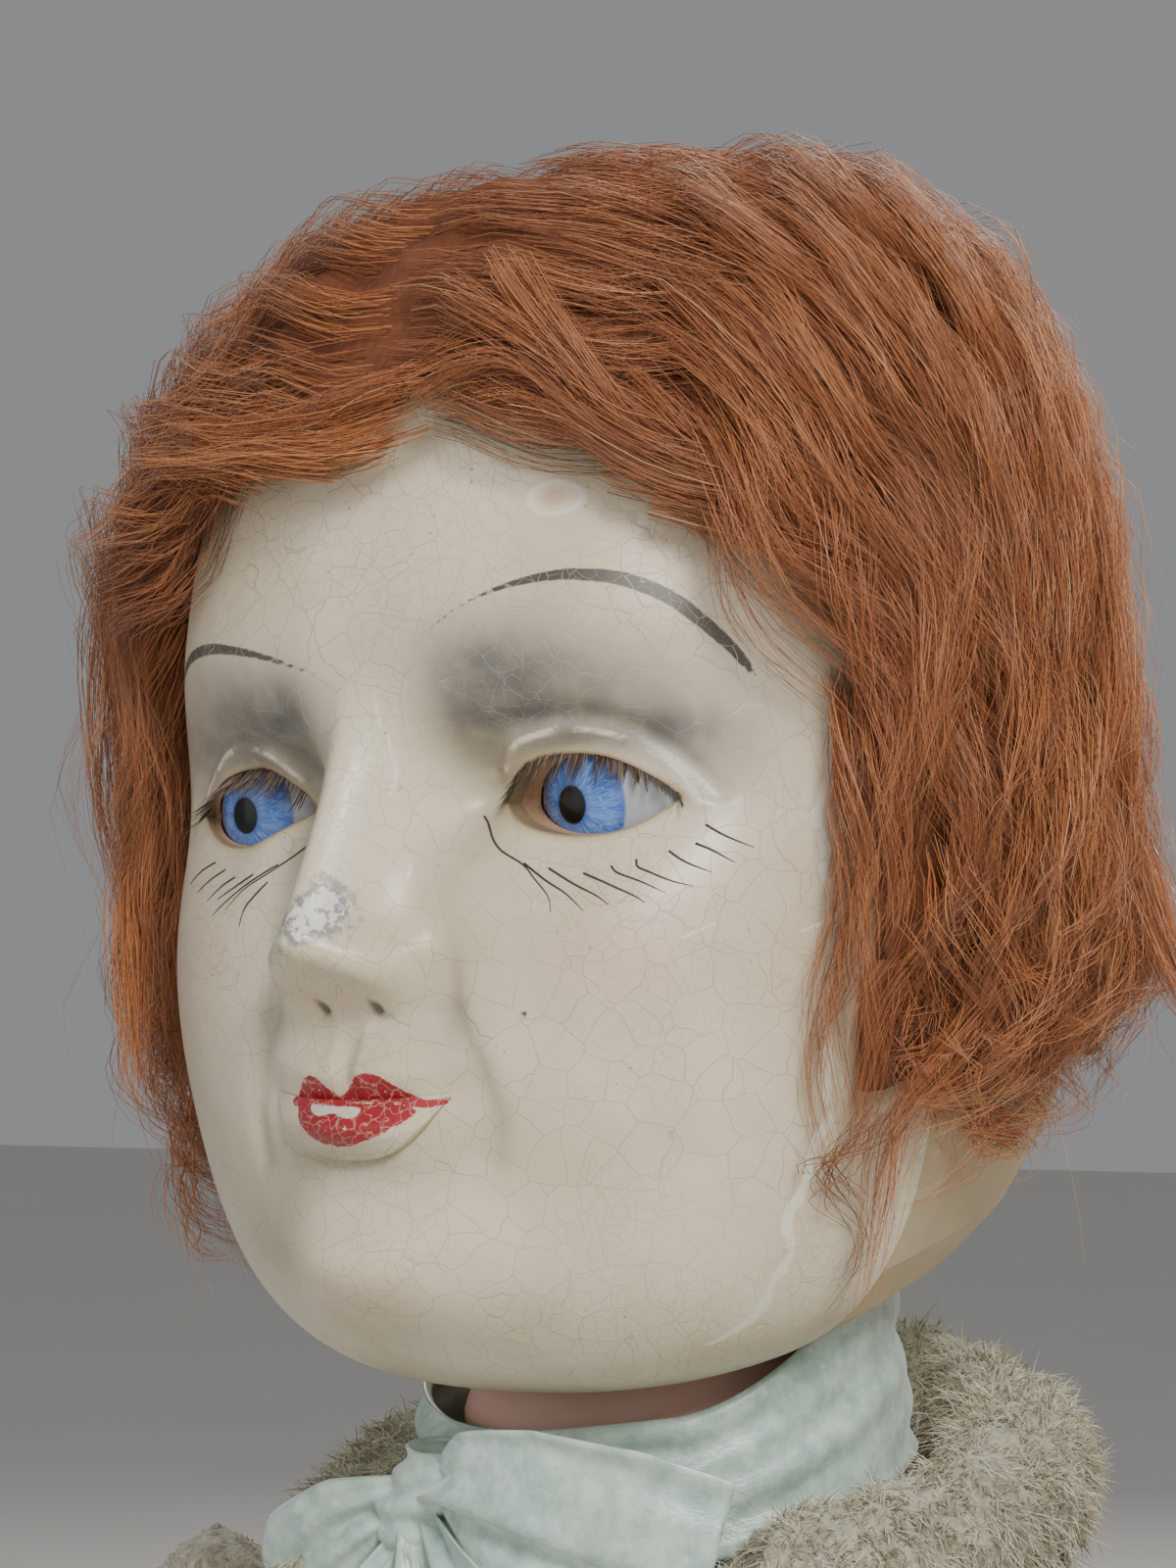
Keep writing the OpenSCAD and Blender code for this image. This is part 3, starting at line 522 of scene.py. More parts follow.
LASH_L = [
    [(17, -4.4), (20.5, -7.5), (24.6, -10.2), (29.4, -12.6), (32.2, -15), (35.3, -18), (36.3, -20.6)],
    [(29.7, -12.5), (34.2, -15.4), (38, -17.6), (41.3, -20.4)],
    [(33.9, -13.4), (38.5, -15.9), (42.7, -18), (44.7, -19.5)],
    [(39.6, -14.3), (43.2, -15.8), (47.6, -17.9), (49.5, -19.2)],
    [(43.4, -13.2), (44.7, -14.3), (48.4, -15.8), (51.8, -17.6)],
    [(46.8, -12.2), (47.4, -13.4), (49.5, -14.4), (52.5, -15.8), (55, -16.6)],
    [(51.1, -10.9), (53.6, -12.7), (56.9, -14.4)], [(54.4, -9.7), (56.7, -10.9), (59.4, -12.9)],
    [(55.3, -6.7), (57.9, -8.5), (61.3, -10.5)]
]
LASH_R = [
    [(-17.6, -8.2), (-20.5, -11), (-24, -13.3), (-28.5, -15.6), (-32.6, -18.9)],
    [(-22, -11.5), (-25.1, -13.2), (-29.4, -15.4), (-34.2, -18.3), (-36.3, -19.9)],
    [(-22.5, -14.5), (-25.1, -17), (-26.9, -18.9), (-27.7, -22)],
    [(-33.1, -13.4), (-36.4, -14.9), (-39.8, -17.4)], [(-27.4, -13.1), (-31.9, -15.2), (-36.3, -17.1)],
    [(-38, -12), (-41.5, -13.6), (-45, -15.8)], [(-43, -10.6), (-46.6, -12), (-50, -14.2)]
]


def close_to(p, x, z, by=4):
    """Which points are within by mm of the box round a line."""
    (x0, z0), (x1, z1) = p[:, :2].min(0) - by, p[:, :2].max(0) + by
    return (x > x0) & (x < x1) & (z > z0) & (z < z1)


def inside(x, z, poly):
    """Signed distance to a closed outline, plus inside."""
    p = smooth_line(poly + poly[:1], 3)
    x, z = np.asarray(x), np.asarray(z)
    out = np.full(x.shape, -9.0)
    near = close_to(p, x, z)
    a, c = x[near], z[near]
    odd = np.zeros(a.shape, bool)
    for (x0, z0), (x1, z1) in zip(p[:-1], p[1:]):
        cross = ((z0 > c) != (z1 > c)) & (a < (x1 - x0) * (c - z0) / (z1 - z0 + 1e-12) + x0)
        odd ^= cross
    out[near] = np.where(odd, 1, -1) * seg_dist(a, c, p)
    return out


def stroke(x, z, line):
    """Signed distance inside a stroke with its own half width at each point."""
    p = smooth_line(line, 5)
    out = np.full(np.shape(x), -9.0)
    near = close_to(p, x, z)
    a, c = x[near], z[near]
    best = np.full(a.shape, -9.0)
    for (ax, az, aw), (bx, bz, bw) in zip(p[:-1], p[1:]):
        ux, uz = bx - ax, bz - az
        t = np.clip(((a - ax) * ux + (c - az) * uz) / (ux * ux + uz * uz + 1e-9), 0, 1)
        best = np.maximum(best, aw + t * (bw - aw) - np.hypot(a - ax - t * ux, c - az - t * uz))
    out[near] = best
    return out


def eye_edge(x, z):
    """Distance outside an eye opening's outline."""
    t = np.linspace(-1, 1, 40)
    loop = np.vstack([np.stack(lid_curve(t, True), -1), np.stack(lid_curve(t[::-1], False), -1)])
    return seg_dist(np.abs(x), z, loop)


def paint(o):
    """The painted look of a head piece as point attributes."""
    p = verts(o) - HEAD
    x, y, z = p.T
    front = y < -5
    g = lambda cx, cz, sx, sz: bump(x, z, cx, cz, sx, sz)
    red = np.maximum(inside(x, z, LIP_UP), inside(x, z, LIP_LOW))
    put(o, "red", np.where(front, red, -9))
    put(o, "chip", np.where(front, inside(x, z, CHIP), -9))
    put(o, "brow", np.where(front, np.maximum(stroke(x, z, BROW_L), stroke(x, z, BROW_R)), -9))
    shade = (
        0.62 * g(24, 16, 11, 10) + 0.42 * g(35, 16, 14, 9) + 0.4 * g(47, 12, 13, 9) + 0.5 * g(56, 5, 8.5, 9.5)
        + 0.3 * g(31, 24, 18, 7) + 0.42 * g(18, 5, 5, 12) + 0.3 * g(30, 11.4, 12, 2.4)
        + 0.3 * g(48, 9.6, 8, 2.4) + 0.3 * g(36, 6.6, 15, 2.6) + 0.62 * g(-23, 13, 14, 10)
        + 0.6 * g(-38, 12, 16, 10) + 0.5 * g(-52, 7, 10, 11) + 0.5 * g(-16, 4, 6, 13)
        + 0.25 * g(-12, 16, 7, 6)
    )
    put(o, "shade", np.where(front, np.clip(shade, 0, 1.1), 0))
    blush = 0.9 * g(47, -29, 13, 13) + 0.8 * g(
        -47, -29, 13, 13
    ) + 0.35 * g(0, -86, 14, 9) + 0.3 * g(62, 26, 7, 12) + 0.25 * g(58, 40, 14, 8)
    put(o, "blush", np.where(front, blush, 0))
    put(
        o, "scuff",
        np.where(
            front,
            1.25 * g(
                2.5, -21, 6.4, 5.4
            ) + 0.6 * g(3.5, -14, 3, 7) + 0.35 * g(-2, -27, 4, 3) + 0.25 * g(24, -45, 4, 12),
            0
        )
    )
    # painted shade: darker in the creases beside the nose and mouth, under the nose and the lower lip, and
    # over the far cheek and jaw
    grime = (
        0.95 * g(0, -61.5, 13, 4.2) + 0.5 * g(-14, -66, 7, 8)
        + 0.4 * np.exp(-((seg_dist(np.abs(x), z, SMILE) / 3.2) ** 2)) + 0.55 * g(19, -38, 4, 7)
        + 0.5 * g(-19, -38, 4, 7) + 0.35 * g(18, -31, 3, 7) + 0.35 * g(-40, -44, 18, 26)
        + 0.25 * g(-30, -75, 18, 18) + 0.3 * g(17, -12, 5, 10) + 0.3 * g(-17, -12, 5, 10)
        + 0.35 * g(0, -41, 8, 4)
    )
    put(o, "grime", np.where(front, grime, 0))
    # the nostril openings are painted dark: painted shade in the recesses
    hole = np.minimum(np.hypot((np.abs(x) - 5.6) * 1.15, z + 35.6), 9)
    put(o, "nostril", np.where(y < -60, hole, 9))
    put(o, "rim", np.where(y < -40, eye_edge(x, z), 9))
    put(o, "fold", np.where(y < -40, seg_dist(np.abs(x), z, FOLD), 9))
    put(o, "blister", np.where(front, np.hypot((x - 34.9) / 1.25, (z - 46.8) / 0.85), 20))
    scratch = np.minimum.reduce(
        [
            seg_dist(x, z, [(7, 9), (7.6, 3), (7.2, -1)]), seg_dist(x, z, [(3.2, -2), (2.8, -5)]),
            seg_dist(x, z, [(5, 16), (6.2, 10)]), seg_dist(x, z, [(54, -25), (58, -22.5)]),
            seg_dist(x, z, [(66, -24), (70, -21)]), seg_dist(x, z, [(33, -18), (33.6, -20)]),
            seg_dist(x, z, [(24, 50), (26, 40), (25, 31)]) + 0.25, seg_dist(x, z, [(11, -12), (11.4, -14.5)]),
        ]
    )
    put(o, "scratch", np.where(front, scratch, 9))
    edge_y = -45.6 + 1.1 * np.sin(z * 0.21) + 0.7 * np.sin(z * 0.57 + 1)
    put(o, "edge", np.where((z < 14) & (z > -92), np.abs(y - edge_y), 9))
    put(o, "spot", np.where(front, np.hypot(x - 32.3, z + 36.8), 9))


def face_material(name):
    n = Nodes(name)
    fine = n.noise(900.0, 2.0)
    soft = n.noise(28.0, 3.0)
    base = n.mix(n.ramp(soft, 0.3, 0.72), col(208, 194, 164), col(226, 215, 190))
    base = n.mix(n.mul(n.attr("blush"), n.ramp(n.noise(60.0), 0.2, 0.7, 0.25, 0.6)), base, col(214, 172, 158))
    shade = n.mul(n.attr("shade"), n.ramp(n.noise(190.0, 4.0), 0.2, 0.7, 0.76, 0.98), clamp=True)
    base = n.mix(shade, base, col(98, 96, 93))
    # painted shade in the creases, under the nose and lower lip, and on the far cheek and jaw
    base = n.mix(n.mul(n.attr("grime"), 0.5), base, col(128, 118, 100))
    # crazing: broad cells, finer ones inside, broken up by noise
    w = n.warped(120.0, 0.0035)
    w2 = n.warped(300.0, 0.0016)
    big = n.cells(150.0, w)
    small = n.cells(330.0, w2)
    gate = n.ramp(n.noise(45.0, 2.0), 0.36, 0.62)
    line_a = n.mul(n.ramp(big, 0.002, 0.013, 1.0, 0.0), n.ramp(n.noise(26.0, 2.0), 0.3, 0.55, 0.35, 1.0))
    line_b = n.mul(n.mul(n.ramp(small, 0.004, 0.026, 1.0, 0.0), gate), 0.7)
    crack = n.math("MAXIMUM", line_a, line_b)
    dirt = n.mix(n.ramp(shade, 0.12, 0.4), col(150, 131, 104), col(214, 208, 194))
    base = n.mix(n.mul(crack, n.ramp(shade, 0.0, 0.5, 0.36, 0.34)), base, dirt)
    # specks of dirt
    dots = n.cells(420.0, n.warped(80.0, 0.004), "F1")
    specks = n.mul(n.ramp(dots, 0.07, 0.13, 1.0, 0.0), n.ramp(n.noise(95.0, 1.0), 0.56, 0.66))
    base = n.mix(n.mul(specks, 0.7), base, col(120, 108, 88))
    # worn nose and grey rubs
    rub = n.ramp(n.mul(n.attr("scuff"), n.noise(420.0, 5.0, 0.7)), 0.30, 0.52)
    base = n.mix(n.mul(rub, 0.85), base, col(128, 132, 134))
    flake = n.ramp(n.mul(n.attr("scuff"), n.noise(700.0, 3.0, 0.6)), 0.52, 0.62)
    base = n.mix(flake, base, col(226, 222, 210))
    # lids
    base = n.mix(n.mul(n.ramp(n.attr("rim"), 0.5, 1.7, 1.0, 0.0), 0.62), base, col(190, 170, 128))
    base = n.mix(n.mul(n.ramp(n.attr("rim"), 0.1, 0.6, 1.0, 0.0), 0.7), base, col(120, 98, 70))
    # a light line along the lid's fold ridge, broken up by noise: partly worn paint, partly painted highlight
    # on the ridge
    fold_wear_and_highlight = n.ramp(n.noise(260.0, 3.0), 0.42, 0.6)
    base = n.mix(n.mul(n.ramp(n.attr("fold"), 0.15, 0.8, 1.0, 0.0), fold_wear_and_highlight), base, col(224, 216, 196))
    # nostrils painted dark brown: painted shade in the openings
    base = n.mix(n.ramp(n.attr("nostril"), 0.7, 1.9, 0.8, 0.0), base, col(58, 46, 36))
    # brows, thin over the crazing
    brush = n.add(n.attr("brow"), n.mul(n.sub(fine, 0.5), 0.35))
    brow = n.mul(n.ramp(brush, -0.02, 0.28), n.sub(1.0, n.mul(crack, 0.85)))
    base = n.mix(n.mul(brow, 0.94), base, n.mix(fine, col(38, 38, 34), col(74, 72, 66)))
    # lips
    rag = n.add(n.attr("red"), n.mul(n.sub(n.noise(900.0, 4.0), 0.5), 0.9))
    red = n.ramp(rag, 0.0, 0.22)
    lip = n.mix(n.noise(150.0, 3.0), col(128, 18, 26), col(182, 44, 54))
    lip = n.mix(
        n.ramp(n.cells(420.0, n.warped(500.0, 0.0022)), 0.012, 0.05, 0.55, 0.0), lip, col(206, 160, 142)
    )
    flakes = n.ramp(n.noise(420.0, 4.0, 0.65), 0.66, 0.69)
    lip = n.mix(flakes, lip, col(214, 200, 176))
    base = n.mix(red, base, lip)
    chip = n.ramp(n.add(n.attr("chip"), n.mul(n.sub(n.noise(500.0, 3.0), 0.5), 0.6)), -0.05, 0.2)
    base = n.mix(chip, base, col(212, 206, 190))
    # blister, scratches, mask edge, one dark fleck
    ring = n.mul(n.ramp(n.attr("blister"), 3.3, 4.2, 1.0, 0.0), n.ramp(n.attr("blister"), 2.2, 3.2))
    base = n.mix(n.mul(ring, 0.75), base, col(232, 226, 210))
    base = n.mix(n.ramp(n.attr("blister"), 0.8, 2.2, 0.7, 0.0), base, col(196, 150, 138))
    base = n.mix(n.ramp(n.attr("scratch"), 0.12, 0.42, 0.85, 0.0), base, col(236, 232, 222))
    ragged = n.add(n.attr("edge"), n.mul(n.sub(n.noise(240.0, 4.0), 0.5), 3.4))
    base = n.mix(n.ramp(ragged, 0.5, 1.1, 0.9, 0.0), base, col(232, 230, 214))
    base = n.mix(n.ramp(n.attr("spot"), 0.4, 0.75, 0.9, 0.0), base, col(60, 52, 44))
    height = n.sub(n.mul(n.noise(34.0, 2.0), 0.5), n.mul(crack, 0.13))
    height = n.add(height, n.mul(ring, 0.25))
    height = n.add(height, n.mul(fine, 0.03))
    rough = n.ramp(n.noise(75.0, 4.0), 0.25, 0.75, 0.34, 0.5)
    n.set(Base_Color=base, Roughness=n.add(rough, n.mul(shade, 0.06)), Normal=n.bump(height, 0.55, 0.0011))
    n.p.inputs["Coat Weight"].default_value = 0.22
    n.p.inputs["Coat Roughness"].default_value = 0.28
    n.p.inputs["Specular IOR Level"].default_value = 0.45
    return n.m


FACE = face_material("face_paint")

v, f = skin(430, 400)
head = mesh("face", v + HEAD, f, [FACE])
v, f = skin(120, 90, 4.0, False, False)
cutters = [mesh("c_in", v + HEAD, f)]
cutters += [ball("c_eye", HEAD + EYE * (s, 1, 1), ER + 0.45) for s in (-1, 1)]
for s in (-1, 1):
    cutters.append(prism("c_lid", lid_loop(50) * (s, 1), -100, -40))
cutters.append(
    prism(
        "c_mouth", [(-15, -51.8), (-12, -55.5), (-6, -59.7), (6, -59.7), (12, -55.5), (15, -51.8)], -110, -50
    )
)
cutters.append(prism("c_back", [(-110, -130), (110, -130), (110, 130), (-110, 130)], -22, 110))
BORE_R, SEG = 40.5, 96
th = np.linspace(0, 2 * np.pi, SEG + 1)[:-1]
bore = np.vstack([np.c_[BORE_R * np.cos(th), BORE_R * np.sin(th), np.full(SEG, h)] for h in (-60, 34)])
bore = bore @ NECK_R.T + NECK_SEAT
i = np.arange(SEG)
wall = np.stack([i, (i + 1) % SEG, (i + 1) % SEG + SEG, i + SEG], -1)
cutters.append(mesh("c_bore", bore + HEAD, [wall, i[::-1][None], (i + SEG)[None]]))
cut(head, cutters)
head.data.polygons.foreach_set("use_smooth", np.full(len(head.data.polygons), True))
head.data.set_sharp_from_angle(angle=math.radians(38))
paint(head)
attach(head, "head")
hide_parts("face_shell")
on_face = BVHTree.FromObject(head, bpy.context.evaluated_depsgraph_get())


def at_face(x, z, lift=0.0):
    """The painted surface at head x, z, in head mm, raised towards the front."""
    o = (HEAD + (x, -140.0, z)) * 0.001
    hit = on_face.ray_cast(Vector(o), Vector((0, 1, 0)))
    if hit[0] is None:
        return None
    return np.array(hit[0]) * 1000 - HEAD + np.array(hit[1]) * lift


# lower lip flap: two sheets of the same rule, closed round the outline
def lip_flap():
    ts, us = np.linspace(-1, 1, 81), np.linspace(0, 1, 37)
    tt, uu = np.meshgrid(ts * 0.985, us, indexing="ij")
    top, low = -50.6 + 1.1 * tt**2, -60.6 + 11 * np.abs(tt) ** 2.6
    low = np.minimum(low, top - 0.02)
    x, z = 18.5 * tt, top + (low - top) * uu
    flat = np.array([at_face_rule(a, b) for a, b in zip(x.ravel(), z.ravel())]).reshape(x.shape)
    out = flat - 0.45 - 4.4 * bump(
        x, z, 0, -55.5, 14, 4.2
    ) - 0.5 * bump(x, z, 0, -54.8, 9, 2.0) + 0.25 * bump(x, z, 0, -54, 1.6, 3)
    a = np.stack([x, out, z], -1).reshape(-1, 3)
    b = np.stack([x, flat - 0.3, z], -1).reshape(-1, 3)
    return np.vstack([a, b]) + HEAD, sheet_faces(*x.shape)


def at_face_rule(x, z):
    """The face's y at head x and z, from the rule itself, so that the mouth slot doesn't matter."""
    zz = z
    for _ in range(4):  # undo the jaw's warp
        y = -np.interp(abs(x), RULE_X, face_row(zz))
        zz = z / (1 - JAW * float(ramp(-60, 70, y)))
    return y


RULE_X = np.linspace(0, 22, 45)
_rows = {}


def face_row(z):
    k = round(z * 8)
    if k not in _rows:
        zz = k / 8
        h = np.clip(1 - np.abs(zz / CD) ** LOW_P, 0, 1) ** (1 / LOW_P)
        y = HF * (np.clip(h**ROUND_P - (RULE_X / HW) ** ROUND_P, 0, 1)) ** (1 / ROUND_P)
        _rows[k] = y + features(RULE_X, np.full(RULE_X.shape, zz))
    return _rows[k]


v, f = lip_flap()
lip = mesh("lower_lip_flap", v, f, [FACE], body=None)
paint(lip)
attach(lip, "lower_lip")
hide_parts("lower_lip")


# painted lower lashes: hair-thin strokes that lie on the glaze
def painted_lashes():
    vs, fs, base = [], [], 0
    for group in (LASH_L, LASH_R):
        for line in group:
            p = smooth_line(line, 6)
            q = [at_face(a, b, 0.05) for a, b in p]
            q = np.array([a for a in q if a is not None])
            if len(q) < 3:
                continue
            w = 0.21 * (1 - 0.75 * np.linspace(0, 1, len(q)) ** 2)
            a, b = tube(q, w, 5)
            vs.append(a)
            fs += [k + base for k in b]
            base += len(a)
    o = mesh("painted_lashes", np.vstack(vs) + HEAD, fs, [plain("lash_ink", (62, 56, 50), 0.6)], body="head")


painted_lashes()


# ------------------------------------------------------------------ eyes
def eye_material():
    n = Nodes("eye_glass")
    r, u, w = n.attr("ir"), n.attr("gu"), n.attr("gw")
    ray = n.node("ShaderNodeCombineXYZ", X=n.mul(u, 5.0), Y=n.mul(w, 5.0), Z=n.mul(r, 0.16))
    streak = n.noise(1.3, 5.0, 0.7, ray)
    threads = n.cells(2.1, ray)
    blue = n.mix(n.ramp(streak, 0.3, 0.7), col(58, 98, 186), col(104, 148, 220))
    blue = n.mix(n.ramp(threads, 0.02, 0.12, 0.5, 0.0), blue, col(150, 180, 226))
    blue = n.mix(n.ramp(r, 7.4, 9.4, 0.0, 0.6), blue, col(44, 74, 156))
    blue = n.mix(n.ramp(r, 3.2, 4.6, 0.45, 0.0), blue, col(40, 62, 130))
    white = n.mix(n.noise(60.0, 3.0), col(150, 152, 160), col(186, 186, 190))
    c = n.mix(n.ramp(r, 9.3, 9.9), blue, white)
    c = n.mix(n.ramp(r, 2.95, 3.35, 1.0, 0.0), c, col(3, 3, 5))
    n.set(Base_Color=c, Roughness=0.25)
    n.set(Coat_Weight=n.ramp(r, 2.95, 3.4, 0.12, 0.6))
    n.p.inputs["Specular IOR Level"].default_value = 0.3
    n.p.inputs["Coat Roughness"].default_value = 0.06
    return n.m


def eyeball(name, side, body, yaw, dip, nodes, seg=96, cornea=0.25):
    """A glass ball turned by yaw and dip degrees, with its iris as point attributes."""
    a, b = math.radians(yaw), math.radians(dip)
    g = np.array([math.sin(a) * math.cos(b), -math.cos(a) * math.cos(b), -math.sin(b)])
    h = unit(np.cross([0, 0, 1.0], g))
    k = np.cross(g, h)
    th = np.concatenate([np.linspace(0, 0.66, 60)[1:], np.linspace(0.66, np.pi, 50)[1:-1]])
    ph = np.arange(seg) * 2 * np.pi / seg
    d = np.cos(th)[:, None, None] * g + np.sin(th)[:, None, None] * (
        np.cos(ph)[:, None] * h + np.sin(ph)[:, None] * k
    )
    # a low cornea over the iris
    lift = ER + cornea * np.exp(-((th / 0.42) ** 4))
    v = np.vstack([(d * lift[:, None, None]).reshape(-1, 3), [g * (ER + cornea)], [-g * ER]])
    caps = end_caps(seg, 0, (len(th) - 1) * seg, len(th) * seg)
    o = mesh(name, v + HEAD + EYE * (side, 1, 1), [grid_faces(len(th), seg, True)[:, ::-1], caps], [EYEMAT])
    e = unit(v)
    ang = np.arccos(np.clip(e @ g, -1, 1))
    cu, cw = e @ h, e @ k
    m = np.hypot(cu, cw) + 1e-9
    put(o, "ir", ER * np.sin(np.minimum(ang, np.pi / 2)) + np.where(ang > np.pi / 2, 9, 0))
    put(o, "gu", cu / m)
    put(o, "gw", cw / m)
    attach(o, body)
    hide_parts(*nodes)


EYEMAT = eye_material()
eyeball("glass_eye_l", 1, "left_eye", -10, 6.2, ["eyeball_l", "iris_l"])
eyeball("glass_eye_r", -1, "right_eye", -9, 4.9, ["eyeball_r", "iris_r_ins"])


def lid_lining():
    """The flesh-coloured rim that closes the gap between each lid and the glass."""
    lining = plain("lid_lining", (176, 142, 112), 0.55, 0.18, 300.0, 0.2)
    for s, k in ((1, "l"), (-1, "r")):
        loop = lid_loop(60)
        mid = loop.mean(0)
        rows = []
        for grow_by, deep in ((1.035, 0), (1.0, 0.6), (0.975, 1), (0.955, 2)):
            q = mid + (loop - mid) * grow_by
            d2 = np.minimum((q[:, 0] - EYE[0]) ** 2 + (q[:, 1] - EYE[2]) ** 2, 17.3**2)
            glass = EYE[1] - np.sqrt((ER + 0.42) ** 2 - d2)
            if deep == 2:
                y = EYE[1] - np.sqrt((ER + 0.3) ** 2 - d2)
            else:
                face_y = []
                for a, b in mid + (loop - mid) * 1.045:
                    h = at_face(s * a, b)
                    face_y.append(-64.0 if h is None else h[1])
                y = (np.array(face_y) + 0.5) * (1 - min(deep, 1)) + glass * min(deep, 1)
                y = np.maximum(y, glass - 6) if deep else y
            rows.append(np.stack([s * q[:, 0], y, q[:, 1]], -1))
        g = np.stack(rows, 0)
        n = g.shape[1]
        o = mesh(
            f"lid_lining_{k}", g.reshape(-1, 3) + HEAD, grid_faces(len(rows), n, True), [lining], body="head"
        )


def upper_lashes():
    lines, pick = [], []
    for s in (-1, 1):
        for _ in range(150):
            t = rng.uniform(-0.93, 0.97)
            x, z = lid_curve(t, True)
            y = at_face(s * x, z + 0.9)
            y = -69.0 if y is None else y[1]
            root = np.array([s * x, y + 0.5, z + 0.1 + rng.normal(0, 0.12)])
            length = rng.uniform(4.0, 8.2) * (1.05 - 0.25 * abs(t))
            side = s * (0.25 + 0.75 * t) + (0.15 if s > 0 else -0.35) + rng.normal(0, 0.16)
            d = unit(np.array([0.5 * side, -0.52, -0.86 + rng.normal(0, 0.1)]))
            k = np.linspace(0, 1, 7)[:, None]
            lines.append(
                root + d * length * k + np.array([0.1 * side, -0.3, 1.1]) * (k**2) * length * 0.16
                + rng.normal(0, 0.05, 3) * k
            )
            pick.append(rng.integers(0, 3))
    mats = [
        plain(f"lash_{i}", c, 0.5, 0.0) for i, c in enumerate(((96, 76, 60), (132, 112, 90), (60, 46, 38)))
    ]
    for m in mats:
        flat_colour(m)
    o = strands(
        "eyelash_fringe", np.array(lines) + HEAD, rng.uniform(0.08, 0.13, len(lines)), mats, np.array(pick),
        "head"
    )
    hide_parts("upper_lashes")


def flat_colour(m, c=None):
    """Drop the links into Base Color, so the colour is one constant."""
    p = m.node_tree.nodes["Principled BSDF"]
    for l in list(p.inputs["Base Color"].links):
        n = l.from_node
        p.inputs["Base Color"].default_value = c or n.inputs[6].default_value[:]
        m.node_tree.links.remove(l)
    return m


lid_lining()
upper_lashes()


# ------------------------------------------------------------------ wig
# mohair tones from dark to light: the darkest stand for painted shade deep in the hair, the lightest for
# painted highlights, with the mohair's own variation between
HAIR = [(84, 42, 22), (132, 73, 38), (168, 99, 55), (194, 124, 74), (216, 150, 98), (232, 182, 136)]


def hair_mats():
    out = []
    for i, c in enumerate(HAIR):
        n = Nodes(f"hair_strand_{i}")
        n.set(Base_Color=col(*c), Roughness=0.42)
        n.p.inputs["Specular IOR Level"].default_value = 0.5
        n.p.inputs["Sheen Weight"].default_value = 0.12
        out.append(n.m)
    return out


HAIRMATS = hair_mats()
PER_LOCK = 4  # guides for each listed lock
PER_MESH = 2400  # strands in one mesh


def scalp(d):
    """Skull surface along the directions d."""
    d = unit(d)
    q = d * skull_r(d[..., 0], d[..., 1], d[..., 2])[..., None]
    return np.stack([q[..., 0], q[..., 1], drawn_up(q[..., 2], q[..., 1])], -1)


# edge of the hair on the near side, and on the far side, where it hangs lower: head x, y, z
LINE_N = [
    (14.7, -74, 66), (28, -71, 65), (39, -68, 59), (50, -62, 50), (62, -50, 42), (69, -40, 31), (72, -35, 16),
    (71, -38, -5), (69, -42, -32), (63, -40, -72)
]
LINE_F = [
    (14.7, -74, 66), (0, -77, 57), (-15, -77, 56), (-33, -72, 57), (-46, -62, 52), (-56, -52, 46),
    (-64, -44, 36), (-70, -37, 16), (-72, -34, -8), (-70, -38, -40), (-63, -38, -72)
]


def polar(p):
    p = np.asarray(p, float)
    n = np.linalg.norm(p, axis=-1)
    return np.degrees(np.arctan2(p[..., 0], -p[..., 1])), np.degrees(np.arcsin(p[..., 2] / n))


def in_hair(d):
    """True where the direction d is on the haired part of the head."""
    az, el = polar(d)
    n_az, n_el = polar(LINE_N)
    f_az, f_el = polar(LINE_F)
    # at each azimuth the forehead's hairline; beside the face the edge's azimuth at each height
    top = np.interp(az, np.concatenate([f_az[4::-1], n_az[1:5]]), np.concatenate([f_el[4::-1], n_el[1:5]]))
    side_n = np.interp(el, n_el[::-1], n_az[::-1])
    side_f = np.interp(el, f_el[::-1], f_az[::-1])
    fore = (az > f_az[4]) & (az < n_az[4])
    return np.where(fore, el > top, (az > side_n) | (az < side_f)) & (
        el > np.interp(np.abs(az), [60, 85, 125, 180], [-47, -40, -24, -18])
    )


def flow(d, s):
    """Tangent direction in which hair lies at directions d; s is the side of the part."""
    g = np.stack(
        [
            s * (0.6 + 1.6 * ramp(0.2, 0.95, d[:, 2])), 0.3 * ramp(0.0, 0.6, d[:, 2]) + 0.05,
            -0.3 - 1.1 * ramp(0.75, 0.1, d[:, 2])
        ],
        -1
    )
    back = ramp(0.1, 0.75, d[:, 1])[:, None]
    g = g * (1 - back) + np.array([0, 0.5, -1.3]) * back + np.stack(
        [0.35 * np.sign(d[:, 0]), 0 * s, 0 * s], -1
    ) * back
    low = ramp(0.1, -0.5, d[:, 2])[:, None]
    g = g * (1 - low) + np.array([0, -0.12, -1.0]) * low
    t = g - np.sum(g * d, -1, keepdims=True) * d
    return unit(t)


def volume(d):
    side = ramp(0.25, 0.8, np.abs(d[:, 0]))
    v = 10 + 9 * side + 7 * ramp(0.2, -0.3, d[:, 2]) * side
    v = v + 6 * ramp(0.2, -0.6, d[:, 0]) * ramp(0.75, 0.3, d[:, 2]) * ramp(-0.9, -0.3, d[:, 1] - 0.4)
    v = v * (1 - 0.85 * ramp(-0.1, 0.5, d[:, 1]))
    return v * (1 - 0.5 * ramp(-0.3, -0.7, d[:, 2]))


def hem(p):
    """Height at which the hair ends, round the head."""
    az = np.degrees(np.arctan2(np.abs(p[..., 0]), -p[..., 1]))
    return np.interp(az, [60, 88, 108, 128, 150, 180], [-98, -96, -92, -84, -76, -72])


